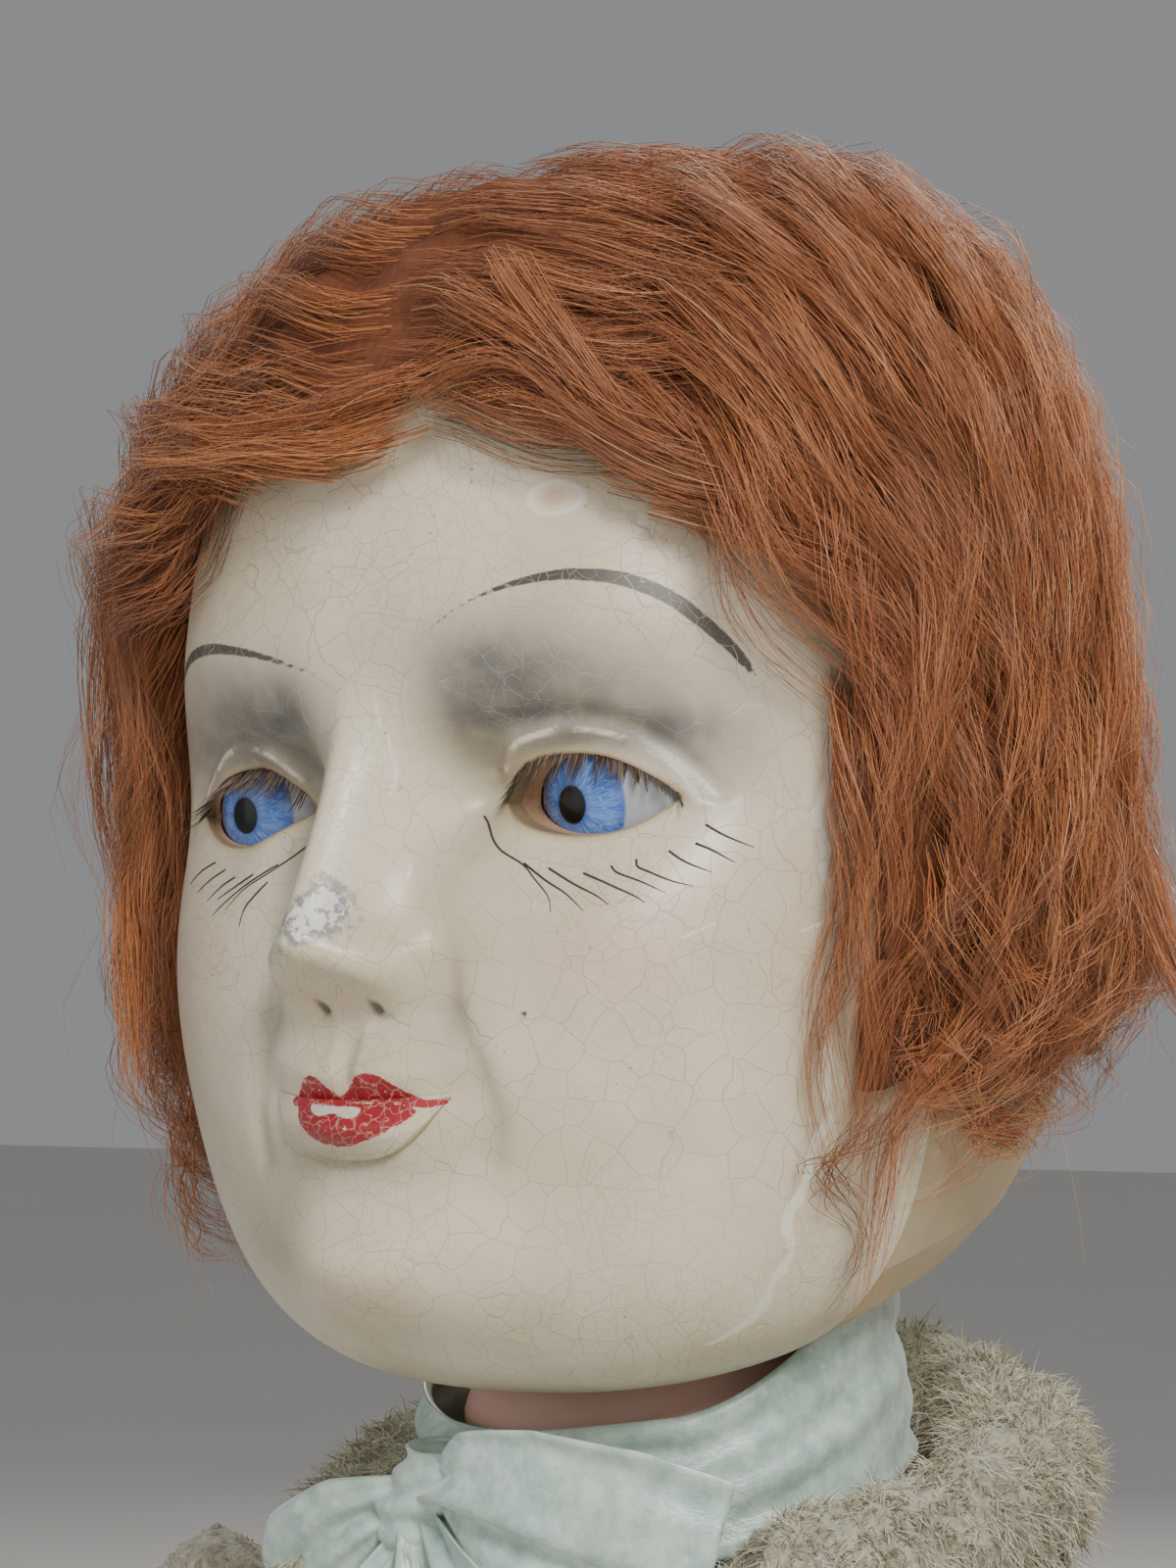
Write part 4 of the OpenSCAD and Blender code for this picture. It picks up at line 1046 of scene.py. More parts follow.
def grow(d0, s, steps, step, lift, phase, wild, amp):
    """Guides that follow the flow over the skull in soft waves. Returns (n, steps, 3)."""
    d = unit(d0)
    base = scalp(d)
    out = []
    arc = np.zeros(len(d))
    for k in range(steps):
        t = flow(d, s)
        nrm = d
        side = np.cross(nrm, t)
        f = k / (steps - 1)
        vol = volume(d)
        h = vol * (0.22 + lift * (0.78 * np.sin(np.pi * min(1, 0.12 + 0.75 * f)) ** 0.8))
        w = 2 * np.pi * arc / 47.0 + phase
        grow_in = min(1.0, f * 3 + 0.15)
        p = base + nrm * (
            h + amp * 0.55 * grow_in * np.sin(w)
        )[:, None] + side * (amp * grow_in * np.cos(w + 0.6))[:, None]
        p = p + wild * (f**1.6)
        out.append(p)
        base = base + t * step[:, None]
        d = unit(base)
        base = scalp(d)
        arc = arc + step
    out = np.stack(out, 1)
    # a guide that would pass the hem is drawn up so that it ends there
    over = out[..., 2] < hem(out) + rng.uniform(-9, 7, (len(out), 1))
    last = np.where(over.any(1), np.maximum(over.argmax(1), 3), steps - 1)
    u = np.linspace(0, 1, steps)[None] * last[:, None]
    lo = np.minimum(u.astype(int), steps - 2)
    rows = np.arange(len(out))[:, None]
    return out[rows, lo] + (out[rows, lo + 1] - out[rows, lo]) * (u - lo)[..., None]


def lock_strands(guides, per, spread, tip, frizz, m=15):
    """per strands round each guide, drawn together at the tip."""
    g = np.repeat(guides, per, axis=0)
    n = len(g)
    f = np.linspace(0, 1, g.shape[1])
    t = unit(np.gradient(g, axis=1))
    a = unit(np.cross(t, np.array([0.2, 0.3, 0.93])))
    b = np.cross(t, a)
    r = spread * np.sqrt(rng.uniform(0, 1, n))
    th = rng.uniform(0, 2 * np.pi, n)
    close = (1 - (1 - tip) * f**1.3)[None]
    turn = th[:, None] + 1.1 * f[None] * rng.normal(0.4, 0.5, n)[:, None]
    off = (r[:, None] * close)[..., None] * (np.cos(turn)[..., None] * a + 0.6 * np.sin(turn)[..., None] * b)
    k1, k2 = rng.uniform(5, 12, (2, n, 1))
    p1, p2 = rng.uniform(0, 6.3, (2, n, 1))
    wob = frizz * rng.uniform(0.3, 1.5, (n, 1)) * (0.3 + f[None])
    off = off + (
        wob * np.sin(k1 * f[None] + p1)
    )[..., None] * a + (wob * np.cos(k2 * f[None] + p2))[..., None] * b
    # some strands stop short
    cut_at = rng.uniform(0.72, 1.0, n)
    pts = g + off
    want = np.linspace(0, 1, m)[None] * cut_at[:, None] * (g.shape[1] - 1)
    lo = np.minimum(want.astype(int), g.shape[1] - 2)
    w = (want - lo)[..., None]
    rows = np.arange(n)[:, None]
    return pts[rows, lo] * (1 - w) + pts[rows, lo + 1] * w


def wig():
    # the cap the hair is sewn to, just off the skull, and a dark under-layer
    v, f = skin(150, 110, -4.5, False, False)
    d = unit(v)
    keep = in_hair(d)
    low = v[:, 2] < hem(v) + 46
    quads = f[0][keep[f[0]].all(1) & ~low[f[0]].any(1)]
    tris = f[1][keep[f[1]].all(1)]
    used = np.unique(np.concatenate([quads.ravel(), tris.ravel()]))
    m = -np.ones(len(v), int)
    m[used] = np.arange(len(used))
    p = v[used]
    wob = 1.6 * np.sin(p[:, 0] * 0.31 + p[:, 2] * 0.2) * np.sin(p[:, 1] * 0.27 + p[:, 2] * 0.11)
    p = p + unit(p) * (1.2 + wob)[:, None]
    n = Nodes("hair_cap")
    st = n.node("ShaderNodeMapping", Vector=n.warped(30.0, 0.02), Scale=(900.0, 500.0, 60.0))
    n.set(Base_Color=n.mix(n.noise(1.0, 4.0, 0.6, st), col(70, 36, 20), col(140, 80, 46)), Roughness=0.8)
    cap = mesh("wig_cap", p + HEAD, [m[quads], m[tris]], [n.m])
    s = cap.modifiers.new("thick", "SOLIDIFY")
    s.thickness = 0.002
    s.offset = -1
    applied(cap)
    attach(cap, "head")
    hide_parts("wig")

    # roots spread evenly over the haired scalp
    k = np.arange(4600) + 0.5
    z = 1 - 2 * k / 4600
    th = np.pi * (1 + 5**0.5) * k
    d = np.stack([np.cos(th) * np.sqrt(1 - z * z), np.sin(th) * np.sqrt(1 - z * z), z], -1)
    d = d[in_hair(d) & (d[:, 2] > -0.62)]
    keep = rng.uniform(0, 1, len(d)) < np.where(
        d[:, 2] > 0.5, np.where(np.abs(d[:, 0] - 0.1) < 0.22, 0.62, 0.36), 0.24
    )
    # more roots close to the part, where no hair arrives from elsewhere
    t = rng.uniform(-0.95, 0.6, 150)
    extra = np.stack([0.14 + rng.uniform(-0.17, 0.17, 150), np.sin(t), np.cos(t)], -1)
    # and a fringe that hides the lower edge of the cap
    az = np.radians(rng.uniform(76, 180, 260)) * np.where(np.arange(260) % 2, 1, -1)
    el = np.radians(rng.uniform(-36, -10, 260))
    fringe = np.stack([np.sin(az) * np.cos(el), -np.cos(az) * np.cos(el), np.sin(el)], -1)
    d = np.vstack([d[keep], unit(extra), fringe])
    part = 0.17 * ramp(1.0, 0.3, d[:, 2]) - 0.02
    s = np.where(d[:, 0] > part, 1.0, -1.0)
    n_g = len(d)
    length = np.where(
        d[:, 2] > 0.55, rng.uniform(105, 150, n_g),
        np.where(d[:, 2] > 0, rng.uniform(75, 110, n_g), rng.uniform(38, 62, n_g))
    )
    steps = 16
    phase = 1.4 + 2.2 * d[:, 1] + 0.9 * s + rng.normal(0, 0.35, n_g)
    lift = rng.uniform(0.35, 1.12, n_g)
    amp = rng.uniform(5.5, 10.5, n_g) * (1 - 0.6 * ramp(0.1, 0.6, d[:, 1]))
    wild = rng.normal(0, 3.2, (n_g, 3))
    guides = grow(d, s, steps, length / steps, lift, phase, wild, amp)
    hairs = lock_strands(guides, 24, 6.2, 0.34, 1.25)
    # locks that stand further off the head get lighter tones, painted light; locks close to the scalp get
    # darker ones, painted shade
    shade = np.repeat(lift, 24)
    save("hair_locks", hairs, shade)

    # locks along the front edge, which roll off the forehead from the part
    edge = []
    for line, s1 in ((LINE_N, 1), (LINE_F, -1)):
        c = smooth_line(line, 6)
        for _ in range(64):
            i0 = rng.integers(0, int(len(c) * (0.74 if s1 > 0 else 0.7)))
            i1 = min(len(c) - 1, i0 + rng.integers(12, 24))
            seg = c[i0:i1 + 1]
            u = np.linspace(0, len(seg) - 1, steps)
            lo = np.minimum(u.astype(int), len(seg) - 2)
            g = seg[lo] + (seg[lo + 1] - seg[lo]) * (u - lo)[:, None]
            f = np.linspace(0, 1, steps)
            back = rng.uniform(1, 13) * (1 - 0.55 * f)
            nrm = unit(g)
            up = unit(np.cross(nrm, unit(np.gradient(g, axis=0)))) * (-s1)
            arc = np.cumsum(np.linalg.norm(np.gradient(g, axis=0), axis=1))
            wv = 2 * np.pi * arc / 40 + 1.2 + 0.08 * i0 + rng.normal(0, 0.3)
            h = 4 + rng.uniform(3, 12) * np.sin(np.pi * (0.1 + 0.8 * f))
            g = g + nrm * (h + 1.6 * np.sin(wv))[:, None] + up * (
                back + 3.0 * np.sin(wv + 1.1) * (0.3 + f)
            )[:, None]
            edge.append(g + rng.normal(0, 1.6, 3) * f[:, None])
    save(
        "hair_front", lock_strands(np.array(edge), 20, 4.6, 0.45, 0.7),
        np.repeat(rng.uniform(0.6, 1.1, len(edge)), 20)
    )

    # single locks given one by one: forelock, far tail, side rolls, curls
    special = [smooth_resample(g, steps) for g in LOCKS for _ in range(PER_LOCK)]
    special = np.array(special) + rng.normal(0, 1.5, (len(special), 1, 3))
    save(
        "hair_tails", lock_strands(special, 26, 5.0, 0.3, 0.9),
        np.repeat(rng.uniform(0.7, 1.15, len(special)), 26)
    )

    # loose flyaways
    k = rng.integers(0, len(guides), 1150)
    g = guides[k][:, 4:]
    f = np.linspace(0, 1, g.shape[1])[None, :, None]
    out = unit(g[:, -1] - g[:, 0]) * 6 + unit(g[:, 0]) * 22 * rng.uniform(0.1, 1, (len(k), 1)) ** 2
    curl = rng.uniform(3, 9, (len(k), 1, 1)) * np.sin(
        f * rng.uniform(3, 8, (len(k), 1, 1)) + rng.uniform(0, 6, (len(k), 1, 1))
    ) * f
    dirs = unit(rng.normal(0, 1, (len(k), 1, 3)))
    g = g + out[:, None] * f**1.7 + curl * dirs
    save("hair_fly", g, rng.uniform(0.8, 1.3, len(k)), 0.05)


def smooth_resample(line, n):
    c = smooth_line(line, 6)
    u = np.linspace(0, len(c) - 1, n)
    lo = np.minimum(u.astype(int), len(c) - 2)
    return c[lo] + (c[lo + 1] - c[lo]) * (u - lo)[:, None]


LOCKS = [
    # forelock hanging over the near brow
    [(30, -78, 84), (40, -80, 72), (47, -76, 60), (53, -70, 50), (58, -64, 41), (62, -58, 34)],
    [(20, -80, 80), (32, -84, 74), (42, -80, 66), (50, -73, 57), (57, -66, 47)],
    # near side rolls beside the face
    [(60, -48, 58), (70, -46, 44), (80, -42, 28), (84, -36, 10), (80, -38, -8), (76, -42, -24)],
    [(72, -30, 20), (86, -32, 4), (88, -34, -16), (80, -42, -34), (74, -44, -52), (72, -44, -70)],
    [(76, -20, 0), (90, -24, -18), (88, -32, -38), (78, -40, -54), (74, -42, -74), (72, -44, -88)],
    # curl tips behind the near ear
    [(84, 10, 4), (96, 6, -12), (104, 0, -26), (110, -2, -36), (117, -4, -40), (122, -6, -48)],
    # far side rolls and tail
    [(-50, -56, 66), (-68, -56, 58), (-82, -50, 44), (-88, -44, 26), (-86, -40, 8), (-84, -40, -8)],
    [(-60, -50, 50), (-80, -50, 38), (-92, -42, 18), (-94, -38, -2), (-90, -38, -16), (-86, -40, -24)],
    [(-78, -44, 10), (-88, -44, -8), (-84, -50, -24), (-78, -56, -36), (-74, -60, -46), (-70, -64, -56)],
]


def save(name, lines, shade, radius=0.07):
    n = len(lines)
    # a higher shade value picks a lighter tone; for the main locks it is their lift, so hair standing out
    # carries painted light and hair near the scalp painted shade, with random variation
    tone = np.clip(2.7 + 1.9 * (shade - 0.75) + rng.normal(0, 0.85, n), 0, 5).astype(int)
    lines = lines + HEAD
    hi = np.array(cad_hi) * 1000
    lines[..., 2] = np.minimum(lines[..., 2], hi[2] + 16)
    for i in range(0, n, PER_MESH):
        s = slice(i, min(n, i + PER_MESH))
        k = s.stop - s.start
        o = strands(
            f"{name}_{i // PER_MESH}", lines[s], rng.uniform(0.75, 1.25, k) * radius, HAIRMATS, tone[s],
            "head"
        )


wig()


# ------------------------------------------------------------------ cloth: ribbon
def satin():
    n = Nodes("mint_satin")
    st = n.node("ShaderNodeMapping", Vector=n.warped(40.0, 0.004), Scale=(700.0, 700.0, 1900.0))
    weave = n.noise(1.0, 2.0, 0.5, st)
    mott = n.noise(190.0, 4.0, 0.65)
    c = n.mix(n.ramp(mott, 0.3, 0.7), col(158, 184, 174), col(204, 222, 210))
    c = n.mix(n.ramp(n.noise(22.0, 2.0), 0.5, 0.75, 0.0, 0.35), c, col(190, 196, 170))
    h = n.add(n.mul(weave, 0.25), n.mul(n.noise(260.0, 4.0, 0.6), 0.6))
    n.set(Base_Color=c, Roughness=0.34, Normal=n.bump(h, 0.5, 0.0007))
    n.p.inputs["Sheen Weight"].default_value = 0.35
    n.p.inputs["Anisotropic"].default_value = 0.4
    return n.m


SATIN = satin()


def from_neck(p):
    """Neck frame mm to row frame mm."""
    return np.asarray(p, float) @ NECK_R.T + NECK_SEAT + HEAD


def sheet_mesh(name, g, thick, mats, body):
    """A thin closed sheet from a grid of points (r, c, 3)."""
    r, c = g.shape[:2]
    du, dv = np.gradient(g, axis=0), np.gradient(g, axis=1)
    n = unit(np.cross(du, dv))
    a, b = (g + n * thick / 2).reshape(-1, 3), (g - n * thick / 2).reshape(-1, 3)
    return mesh(name, np.vstack([a, b]), sheet_faces(r, c), mats, body=body)


def ribbon_band():
    a, u = np.meshgrid(np.linspace(-178, 178, 240), np.linspace(0, 1, 30), indexing="ij")
    top = -4 + 17 * ramp(35, 105, a) + 6 * ramp(-40, -120, a)
    low = -29 + 7 * ramp(40, 120, a) + 2 * ramp(-40, -120, a)
    z = low + (top - low) * u
    r = 43.6 + 5.5 * ramp(-15, -95, a) * ramp(-178, -120, a) - 2.0 * u
    crease = 0.9 * np.sin(2 * np.pi * (2.2 * u + 0.004 * a)) + 0.7 * np.sin(
        2 * np.pi * (3.7 * u - 0.006 * a) + 1
    )
    pull = ramp(60, 0, np.abs(a + 24))
    r = r + crease * (0.6 + 0.9 * pull) - 1.6 * pull * (np.abs(u - 0.5) * 2) ** 2
    z = z + pull * 5 * (0.5 - u) * 1.1
    th = np.radians(a)
    g = from_neck(np.stack([r * np.sin(th), -r * np.cos(th), z], -1))
    o = sheet_mesh("ribbon_round_neck", g, 0.5, [SATIN], "torso")
    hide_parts("ribbon_band")
    return o


def strip(name, line, across, width, pleats, n=26, thick=0.4, roll=0.0):
    """A ribbon along line, its width along across at each point, with pleats of that depth."""
    m = 70
    c = smooth_resample(line, m)
    d = unit(smooth_resample(across, m))
    w = np.interp(np.linspace(0, 1, m), np.linspace(0, 1, len(width)), width)
    q = np.interp(np.linspace(0, 1, m), np.linspace(0, 1, len(pleats)), pleats)
    v = np.linspace(-0.5, 0.5, n)
    t = unit(np.gradient(c, axis=0))
    nrm = unit(np.cross(t, d))
    fold = np.sin(v[None] * 13 + 0.8) + 0.6 * np.sin(v[None] * 23 + np.linspace(0, 3, m)[:, None])
    curl = roll * (4 * v[None] ** 2)
    g = c[:, None] + d[:, None] * (w[:, None] * v[None])[..., None] + nrm[:, None] * (
        q[:, None] * fold + curl
    )[..., None]
    return sheet_mesh(name, from_neck(g), thick, [SATIN], "torso")


def bow():
    out = []
    k = np.array([-19.0, -47.0, -17.0])  # the knot, in the neck frame
    # knot: a band wrapped round, with pleats
    th, u = np.meshgrid(np.linspace(0, 2 * np.pi, 60), np.linspace(-1, 1, 24), indexing="ij")
    rr = 1 + 0.1 * np.sin(u * 9 + th * 1.3) - 0.28 * u**2
    g = np.stack(
        [8.2 * rr * np.cos(th) + 1.4 * np.sin(3 * u), -6.2 * rr * np.sin(th), 9.5 * u + 1.5 * np.cos(th)], -1
    )
    out.append(
        sheet_mesh(
            "ribbon_knot",
            from_neck(g @ np.array([[0.94, 0.1, -0.32], [-0.05, 1, 0.05], [0.32, 0, 0.94]]) + k), 0.6,
            [SATIN], "torso"
        )
    )
    # wide near tail that fans over the band, frayed at its end
    out.append(
        strip(
            "ribbon_tail_near",
            [k + (2, -3, 1), k + (14, -10, 2), k + (30, -11, -1), k + (46, -6, -6), k + (58, 1, -10)],
            [(0, -0.2, 1), (0, 0.0, 1), (0.1, 0.0, 1), (0.25, 0.05, 1), (0.35, 0.1, 1)], [8, 24, 34, 37, 33],
            [1.6, 1.3, 1.5, 1.2, 0.7], roll=-2.5
        )
    )
    out.append(
        strip(
            "ribbon_tail_low", [k + (1, -3, -4), k + (9, -9, -13), k + (20, -9, -24), k + (31, -5, -36)],
            [(0.9, 0, 0.5), (0.9, 0, 0.55), (0.9, 0.1, 0.6), (0.85, 0.15, 0.6)], [8, 20, 26, 27],
            [1.3, 1.3, 1.1, 0.6], roll=1.6
        )
    )
    # far loop, out and back
    out.append(
        strip(
            "ribbon_loop_far",
            [
                k + (-3, -1, 0), k + (-16, -5, -6), k + (-30, -3, -15), k + (-38, 3, -24), k + (-32, 8, -24),
                k + (-18, 7, -14), k + (-4, 3, -4)
            ],
            [
                (0.1, -0.2, 1), (-0.2, -0.2, 1), (-0.35, -0.2, 1), (-0.3, -0.2, 1), (-0.2, 0, 1),
                (-0.1, 0, 1), (0, 0, 1)
            ],
            [8, 19, 22, 20, 20, 17, 8], [1.2, 1.2, 0.8, 0.5, 0.7, 0.9, 0.9]
        )
    )
    out.append(
        strip(
            "ribbon_tail_far", [k + (-2, -2, -5), k + (-8, -7, -15), k + (-14, -7, -26), k + (-22, -3, -36)],
            [(1, 0, 0.2), (1, 0, 0.15), (1, 0.1, -0.1), (0.95, 0.1, -0.2)], [7, 15, 20, 22],
            [1.1, 1.0, 0.9, 0.5]
        )
    )
    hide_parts("ribbon_bow")
    # frayed threads at the near tail's end and four loose ones at the knot
    lines = []
    end = k + (58, 1, -10)
    for _ in range(60):
        v = rng.uniform(-0.5, 0.5)
        root = end + np.array([0.35, 0.1, 1]) / 1.07 * 33 * v + rng.normal(0, 0.3, 3)
        f = np.linspace(0, 1, 7)[:, None]
        d = unit(np.array([1, 0.1, -0.25]) + rng.normal(0, 0.35, 3))
        lines.append(root + d * f * rng.uniform(2, 7) + rng.normal(0, 1.2, 3) * f**2)
    for _ in range(4):
        f = np.linspace(0, 1, 7)[:, None]
        lines.append(
            k + (rng.uniform(-2, 4), -8, -6) + np.array([rng.uniform(-3, 5), -3, -26]) * f
            + rng.normal(0, 2, 3) * np.sin(f * 4)
        )
    fray = flat_colour(plain("ribbon_thread", (196, 212, 200), 0.5, 0.0))
    out.append(
        strands(
            "ribbon_fray", from_neck(np.array(lines)), np.full(len(lines), 0.09), [fray],
            np.zeros(len(lines), int), "torso"
        )
    )
    return out


band = ribbon_band()
bows = bow()


# ------------------------------------------------------------------ cloth: plush coat, sleeves, trousers
def plush():
    n = Nodes("cream_plush")
    curl = n.noise(330.0, 4.0, 0.7, n.warped(150.0, 0.006))
    # the pile is darker where the curl noise is low, in the hollows its bump makes: painted shade
    c = n.mix(n.ramp(curl, 0.28, 0.72), col(132, 128, 104), col(206, 202, 178))
    c = n.mix(n.ramp(n.noise(14.0, 3.0), 0.45, 0.75, 0.0, 0.5), c, col(150, 140, 110))
    h = n.add(curl, n.mul(n.noise(1100.0, 2.0, 0.6), 0.5))
    n.set(Base_Color=c, Roughness=0.95, Normal=n.bump(h, 0.9, 0.0022))
    n.p.inputs["Sheen Weight"].default_value = 0.5
    return n.m


PLUSH = plush()
PILE = [
    flat_colour(plain(f"pile_{i}", c, 0.9, 0.0)) for i,
    c in enumerate(((206, 202, 178), (178, 173, 148), (222, 220, 200), (150, 144, 118)))
]


def lumps(p, size, seed):
    """Smooth repeatable noise in about -1..1 at points in mm."""
    r = np.random.default_rng(seed)
    out = np.zeros(len(p))
    for _ in range(9):
        d = unit(r.normal(0, 1, 3)) * 2 * np.pi / (size * r.uniform(0.6, 1.8))
        out += np.sin(p @ d + r.uniform(0, 6.3))
    return out / 4.2


def displace(o, by):
    p = verts(o)
    nrm = np.empty(len(o.data.vertices) * 3, np.float32)
    o.data.vertices.foreach_get("normal", nrm)
    q = (p + nrm.reshape(-1, 3) * by[:, None]) * 0.001
    o.data.vertices.foreach_set("co", q.astype(np.float32).ravel())
    o.data.update()


def pile(name, o, count, length, radius=0.13, droop=0.5, keep=None):
    """Short fibres over a piece, as one mesh."""
    me = o.data
    me.calc_loop_triangles()
    tri = np.empty(len(me.loop_triangles) * 3, np.int32)
    me.loop_triangles.foreach_get("vertices", tri)
    tri = tri.reshape(-1, 3)
    p = verts(o)
    a, b, c = p[tri[:, 0]], p[tri[:, 1]], p[tri[:, 2]]
    cr = np.cross(b - a, c - a)
    ar = np.linalg.norm(cr, axis=1)
    if keep is not None:
        ar = ar * keep((a + b + c) / 3, unit(cr))
    i = rng.choice(len(tri), count, p=ar / ar.sum())
    u, v = rng.uniform(0, 1, (2, count, 1))
    u, v = np.where(u + v > 1, 1 - u, u), np.where(u + v > 1, 1 - v, v)
    root = a[i] + (b[i] - a[i]) * u + (c[i] - a[i]) * v
    n = unit(cr[i])
    swirl = np.stack([lumps(root, 9, 5), lumps(root, 9, 6), lumps(root, 9, 7) - droop], -1)
    d = unit(n + 0.75 * swirl + rng.normal(0, 0.28, (count, 3)))
    f = np.linspace(0, 1, 4)[None, :, None]
    ln = (length * rng.uniform(0.5, 1.25, count))[:, None, None]
    bend = rng.normal(0, 0.35, (count, 1, 3)) + np.array([0, 0, -0.35])
    lines = root[:, None] - n[:, None] * 0.4 + d[:, None] * ln * f + bend * ln * f**2
    return strands(
        name, lines, rng.uniform(0.7, 1.3, count) * radius, PILE, rng.integers(0, 4, count), None, 3
    )


def soft_shell(name, nodes, body, voxel=1.8, amp=0.9, smooth=6, size=17, mat=PLUSH):
    o = remeshed(cad_copy(name, nodes), voxel, smooth)
    displace(o, amp * lumps(verts(o), size, len(name)) + 0.45 * amp * lumps(verts(o), size / 3, 3))
    o.data.materials.clear()
    o.data.materials.append(mat)
    o.data.polygons.foreach_set("material_index", np.zeros(len(o.data.polygons), np.int32))
    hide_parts(*nodes)
    if body:
        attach(o, body)
    return o


coat = soft_shell("coat_plush", ["coat_body"], "torso", 2.0, 1.0)
collar = soft_shell("collar_plush", ["coat_collar"], "torso", 1.5, 1.5, 5, 15)
seat = soft_shell("trouser_seat_plush", ["trouser_seat"], "torso", 2.0, 0.7)
def outward(c, n):
    """1 where a triangle of the coat faces away from the body's own axis, else 0."""
    return 1.0 * (((c - (0, BODY_Y, 0)) * n)[:, :2].sum(1) > 0)


for nm, o, count, ln, keep in (
    ("collar_pile_a", collar, 15500, 3.4, None),
    ("collar_pile_b", collar, 15500, 4.2, None),
    ("coat_pile_a", coat, 16000, 3.6, outward),
    ("coat_pile_b", coat, 16000, 3.6, outward),
    ("seat_pile", seat, 7000, 3.2, None),
):
    q = pile(nm, o, count, ln, keep=keep)
    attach(q, "torso")


def limb(name, line, radius, start, end, nodes, seed, ring=44):
    """A sleeve or leg: one closed tube round two cores, with creases at the bend."""
    c = smooth_resample(line, 120)
    m = len(c)
    f = np.linspace(0, 1, m)
    t = unit(np.gradient(c, axis=0))
    ax = np.array([1.0, 0, 0])
    b = unit(np.cross(t, ax))
    r = np.interp(f, np.linspace(0, 1, len(radius)), radius)
    th = np.arange(ring) * 2 * np.pi / ring
    s = np.linalg.norm((start + end) / 2 - c, axis=1)
    wrinkle = 1.5 * np.exp(-((s / 26) ** 2))[:, None] * np.sin(s[:, None] * 0.62 + 1.3 * np.sin(th)[None])
    rr = r[:, None] + wrinkle
    v = c[:, None] + rr[..., None] * (np.cos(th)[None, :, None] * ax + np.sin(th)[None, :, None] * b[:, None])
    v = v.reshape(-1, 3)
    v = v + unit(v - np.repeat(c, ring, 0)) * (
        0.9 * lumps(v, 19, seed) + 0.35 * lumps(v, 6, seed + 1)
    )[:, None]
    n = len(v)
    v = np.vstack([v, c[:1] - t[:1] * r[0] * 0.55, c[-1:] - t[-1:] * 6])
    caps = end_caps(ring, 0, (m - 1) * ring, n)
    o = mesh(name, v, [grid_faces(m, ring, True)[:, ::-1], caps], [PLUSH])
    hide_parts(*nodes)
    fur = pile(name + "_pile", o, 8200, 3.0)
    for x in (o, fur):
        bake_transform(x)
    return o


fa = np.array([0, -math.cos(math.radians(21)), -math.sin(math.radians(21))])
for s, nm, k in ((1, "left", "l"), (-1, "right", "r")):
    sh = np.array([110.0 * s, BODY_Y + 4, 268.0])
    el = sh + (0, 0, -130)
    dn = unit(np.array([0, 0, -1.0]) + fa)
    limb(
        f"sleeve_{k}",
        [
            sh + (0, 0, 17), sh, sh + (0, 0, -60), el + (0, 0, 30), el + (0, 1.5, 0) + fa * 4, el + fa * 34,
            el + fa * 70, el + fa * 101
        ],
        [9, 18.5, 20.5, 20, 20, 20.5, 20, 21, 22.5], el - dn * 15,
        el + dn * 15, [f"sleeve_upper_{k}", f"sleeve_fore_{k}"], 20 + s
    )
    hp = np.array([45.0 * s, BODY_Y - 62, 34.0])
    kn = hp + (0, -180, 0)
    limb(
        f"trouser_{k}",
        [
            hp + (0, -8, 0), hp + (0, -50, 0), hp + (0, -110, 0), kn + (0, 30, 0), kn, kn + (0, -34, 0),
            kn + (0, -90, 0), kn + (0, -141, 0)
        ],
        [24, 31, 31, 30, 28.5, 28.5, 27.5, 27, 27.5], kn + (0, 18, 0),
        kn + (0, -18, 0), [f"trouser_thigh_{k}", f"trouser_shin_{k}"], 30 + s
    )

# ------------------------------------------------------------------ hands and shoes
HANDMAT = plain("hand_paint", (216, 196, 168), 0.42, 0.06, 90.0, 0.12)
LEATHER = plain("shoe_leather", (58, 38, 30), 0.38, 0.25, 70.0, 0.25)
KNIT = plain("knit_cream", (206, 204, 188), 0.85, 0.08, 400.0, 0.35)
SOLE = plain("shoe_sole", (92, 70, 50), 0.7, 0.2, 120.0, 0.3)
for nm, k in (("left", "l"), ("right", "r")):
    h = soft_shell(
        f"carved_hand_{k}", [f"hand_{k}"], f"{nm}_forearm", 1.0, 0.12, 7, 12, HANDMAT
    )
    sh = soft_shell(
        f"leather_shoe_{k}", [f"shoe_{k}"], f"{nm}_shin", 1.3, 0.25, 8, 22, LEATHER
    )
    s = 1 if k == "l" else -1
    c = np.array([45.0 * s, BODY_Y - 412, 34.0])
    # shoe frame: forwards is +Z there, up is +Y there; here the sole faces -Y
    t = np.linspace(0, 2 * np.pi, 60)
    welt = []
    for q in t:
        fwd = np.cos(q)
        r = 20.5 + 3.0 * (fwd + 1) / 2
        welt.append((c[0] + r * np.sin(q) * 0.99, c[1] - 22.3, c[2] + 14.5 + (29.5 + r) * fwd))
    y = np.array([30, 27, 22, 16, 10, 5, 2])
    v, f = tube(
        np.stack([np.full(7, c[0]), c[1] + y, np.full(7, c[2] + 0.0)], -1),
        [17.6, 18.6, 18.2, 17.5, 17.8, 17.2, 16.4], 40
    )
    q = mesh(f"sock_{k}", v, f, [KNIT], body=f"{nm}_shin")
    e = np.array([110.0 * s, BODY_Y + 4, 138.0])
    v, f = tube(
        np.array([e + fa * x for x in (88, 94, 100, 106, 110, 111.5)]), [11.8, 12.6, 12.9, 12.9, 12.7, 11.4],
        40
    )
    q = mesh(f"shirt_cuff_{k}", v, f, [KNIT], body=f"{nm}_forearm")
    v, f = tube(np.array(welt), 1.1, 8, False)
    w = mesh(f"shoe_welt_{k}", v, f, [SOLE], body=f"{nm}_shin")


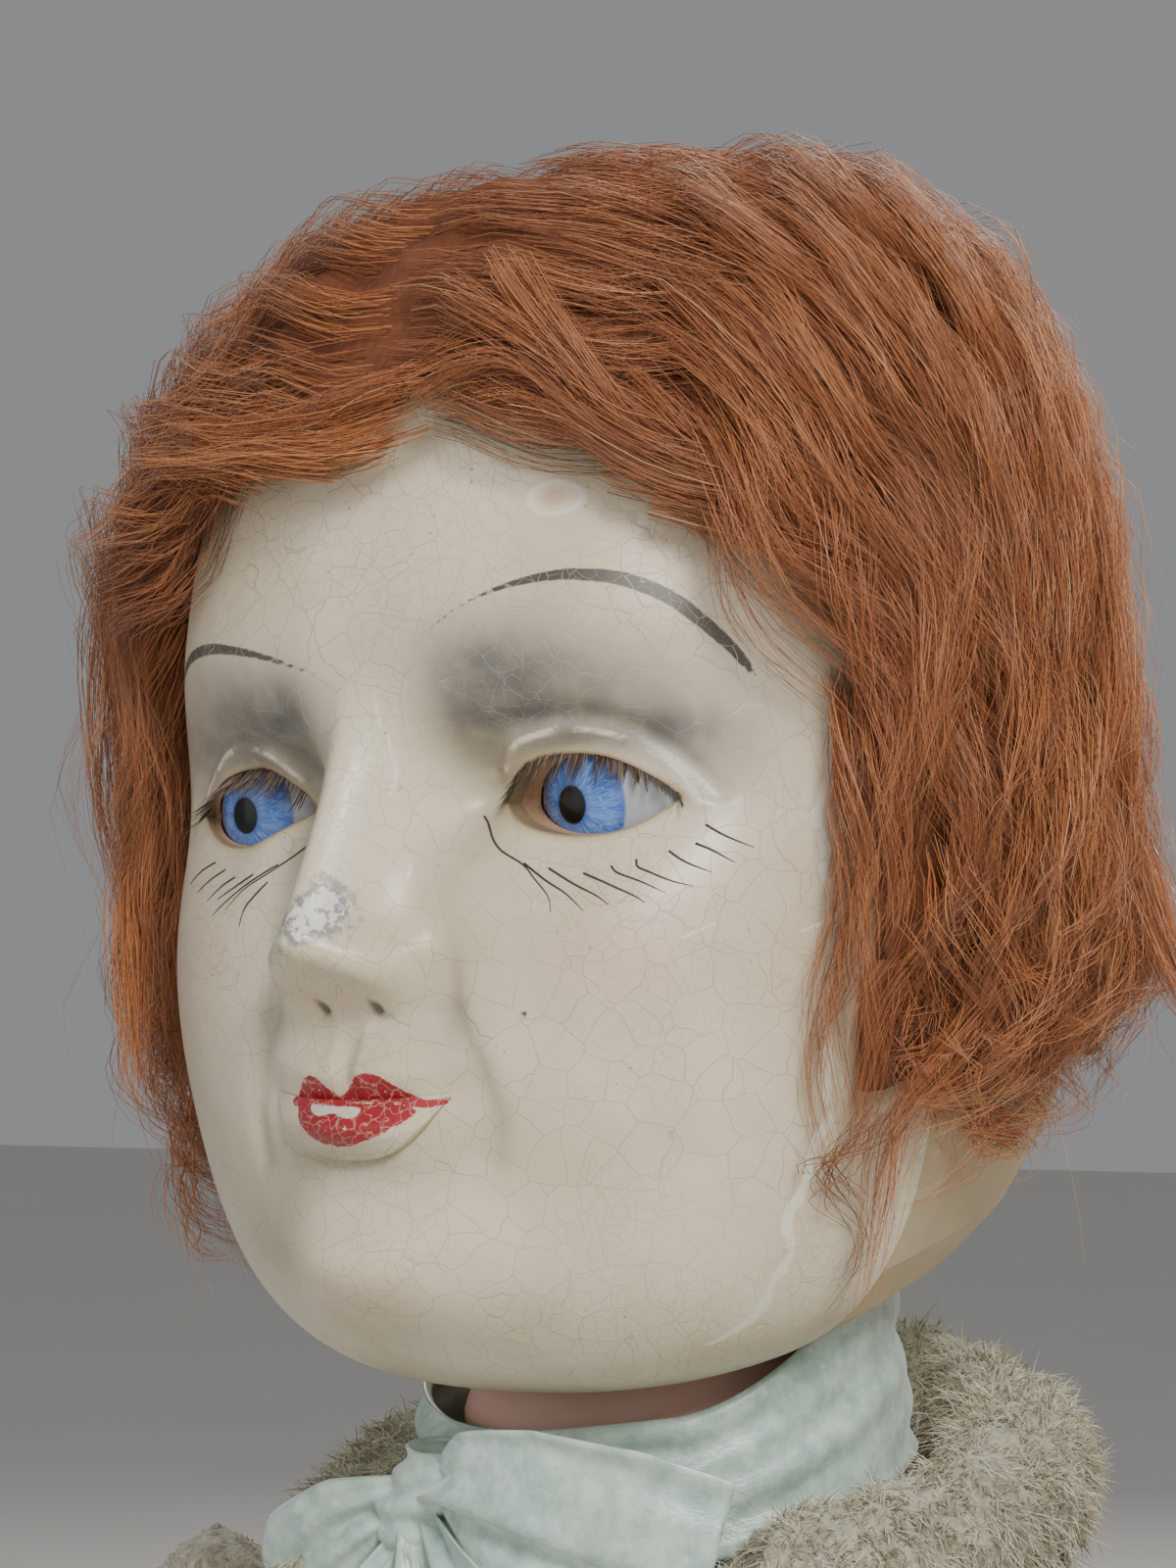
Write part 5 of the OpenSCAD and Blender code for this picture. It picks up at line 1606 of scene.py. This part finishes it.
# ------------------------------------------------------------------ the CAD nodes that stay in view
SLOTMAT = {
    "skull_paper": plain("skull_paper", (190, 172, 138), 0.7, 0.15, 90.0, 0.3),
    "face_paint": plain("face_cream", (214, 202, 174), 0.5, 0.05, 60.0),
    "torso_paper": plain("torso_paper", (168, 150, 118), 0.85, 0.2, 70.0, 0.5),
    "neck_paint": plain("neck_paint", (222, 176, 156), 0.5, 0.08, 80.0, 0.15),
    "brass": plain("brass", (182, 148, 84), 0.35, 0.2, 160.0, 0.1, Metallic=1.0),
    "steel": plain("steel", (150, 150, 154), 0.35, 0.2, 160.0, 0.1, Metallic=1.0),
    "iron": plain("iron", (92, 90, 88), 0.5, 0.2, 160.0, 0.2, Metallic=1.0),
    "pine": wood("pine", (206, 168, 112)),
    "beech": wood("beech", (188, 142, 96)),
    "grip": wood("grip", (98, 58, 34), 0.4),
    "button": plain("button", (66, 44, 32), 0.3, 0.25, 40.0, 0.1),
}
slots = {s["node"]: s["material_slot"] for s in frame["record"]["subparts"]}
for name, o in frame["nodes"].items():
    if o.hide_render:
        continue
    o.data.materials.clear()
    o.data.materials.append(SLOTMAT.get(slots.get(name), SLOTMAT["pine"]))

# ------------------------------------------------------------------ stage, lights, camera
floor_m = plain("floor_pale", (214, 212, 206), 0.8, 0.03, 3.0)
floor = mesh(
    "floor", [[-6000, -6000, 0], [6000, -6000, 0], [6000, 6000, 0], [-6000, 6000, 0]],
    np.array([[0, 1, 2, 3]]), [floor_m]
)

world = bpy.data.worlds.new("world")
bpy.context.scene.world = world
world.use_nodes = True
world.node_tree.nodes["Background"].inputs[0].default_value = (0.74, 0.75, 0.77, 1)
world.node_tree.nodes["Background"].inputs[1].default_value = 0.36


def area_light(name, where, at, power, size, tint=(1, 1, 1)):
    l = bpy.data.lights.new(name, "AREA")
    l.energy, l.size, l.color = power, size, tint
    o = bpy.data.objects.new(name, l)
    o.location = where
    o.rotation_euler = (Vector(at) - Vector(where)).to_track_quat("-Z", "Y").to_euler()
    bpy.context.scene.collection.objects.link(o)


mid = (0, 0.15, 0.42)
area_light("key", (1.35, -0.95, 1.35), mid, 36, 0.55, (1, 0.98, 0.95))
area_light("fill", (-1.5, -1.6, 0.7), mid, 6, 1.4, (0.93, 0.96, 1))
area_light("rim", (-0.5, 1.7, 1.3), mid, 20, 0.8, (1, 0.97, 0.92))
area_light("front", (0.6, -2.2, 0.5), mid, 7, 1.2)

# the view of the picture: degrees round the head, up and tilted, mm away, and mm off centre
AZ, EL, ROLL, DIST = 36.498, -2.369, -0.764, 740.97
OFF_RIGHT, OFF_UP, LENS = -11.22, 3.347, 93.87
a, e, r = (math.radians(x) for x in (AZ, EL, ROLL))
back = np.array([math.sin(a) * math.cos(e), -math.cos(a) * math.cos(e), math.sin(e)])
right = np.array([math.cos(a), math.sin(a), 0])
up = np.cross(back, right)
right, up = math.cos(r) * right + math.sin(r) * up, -math.sin(r) * right + math.cos(r) * up
centre = OFF_RIGHT * right + OFF_UP * up + back * DIST + HEAD
cam = bpy.data.cameras.new("camera")
cam.lens, cam.sensor_width, cam.clip_start = LENS, 36, 0.01
cam_o = bpy.data.objects.new("camera", cam)
bpy.context.scene.collection.objects.link(cam_o)
m = Matrix.Identity(4)
for i in range(3):
    m[i][0], m[i][1], m[i][2], m[i][3] = right[i], up[i], back[i], centre[i] * 0.001
cam_o.matrix_world = m
bpy.context.scene.camera = cam_o
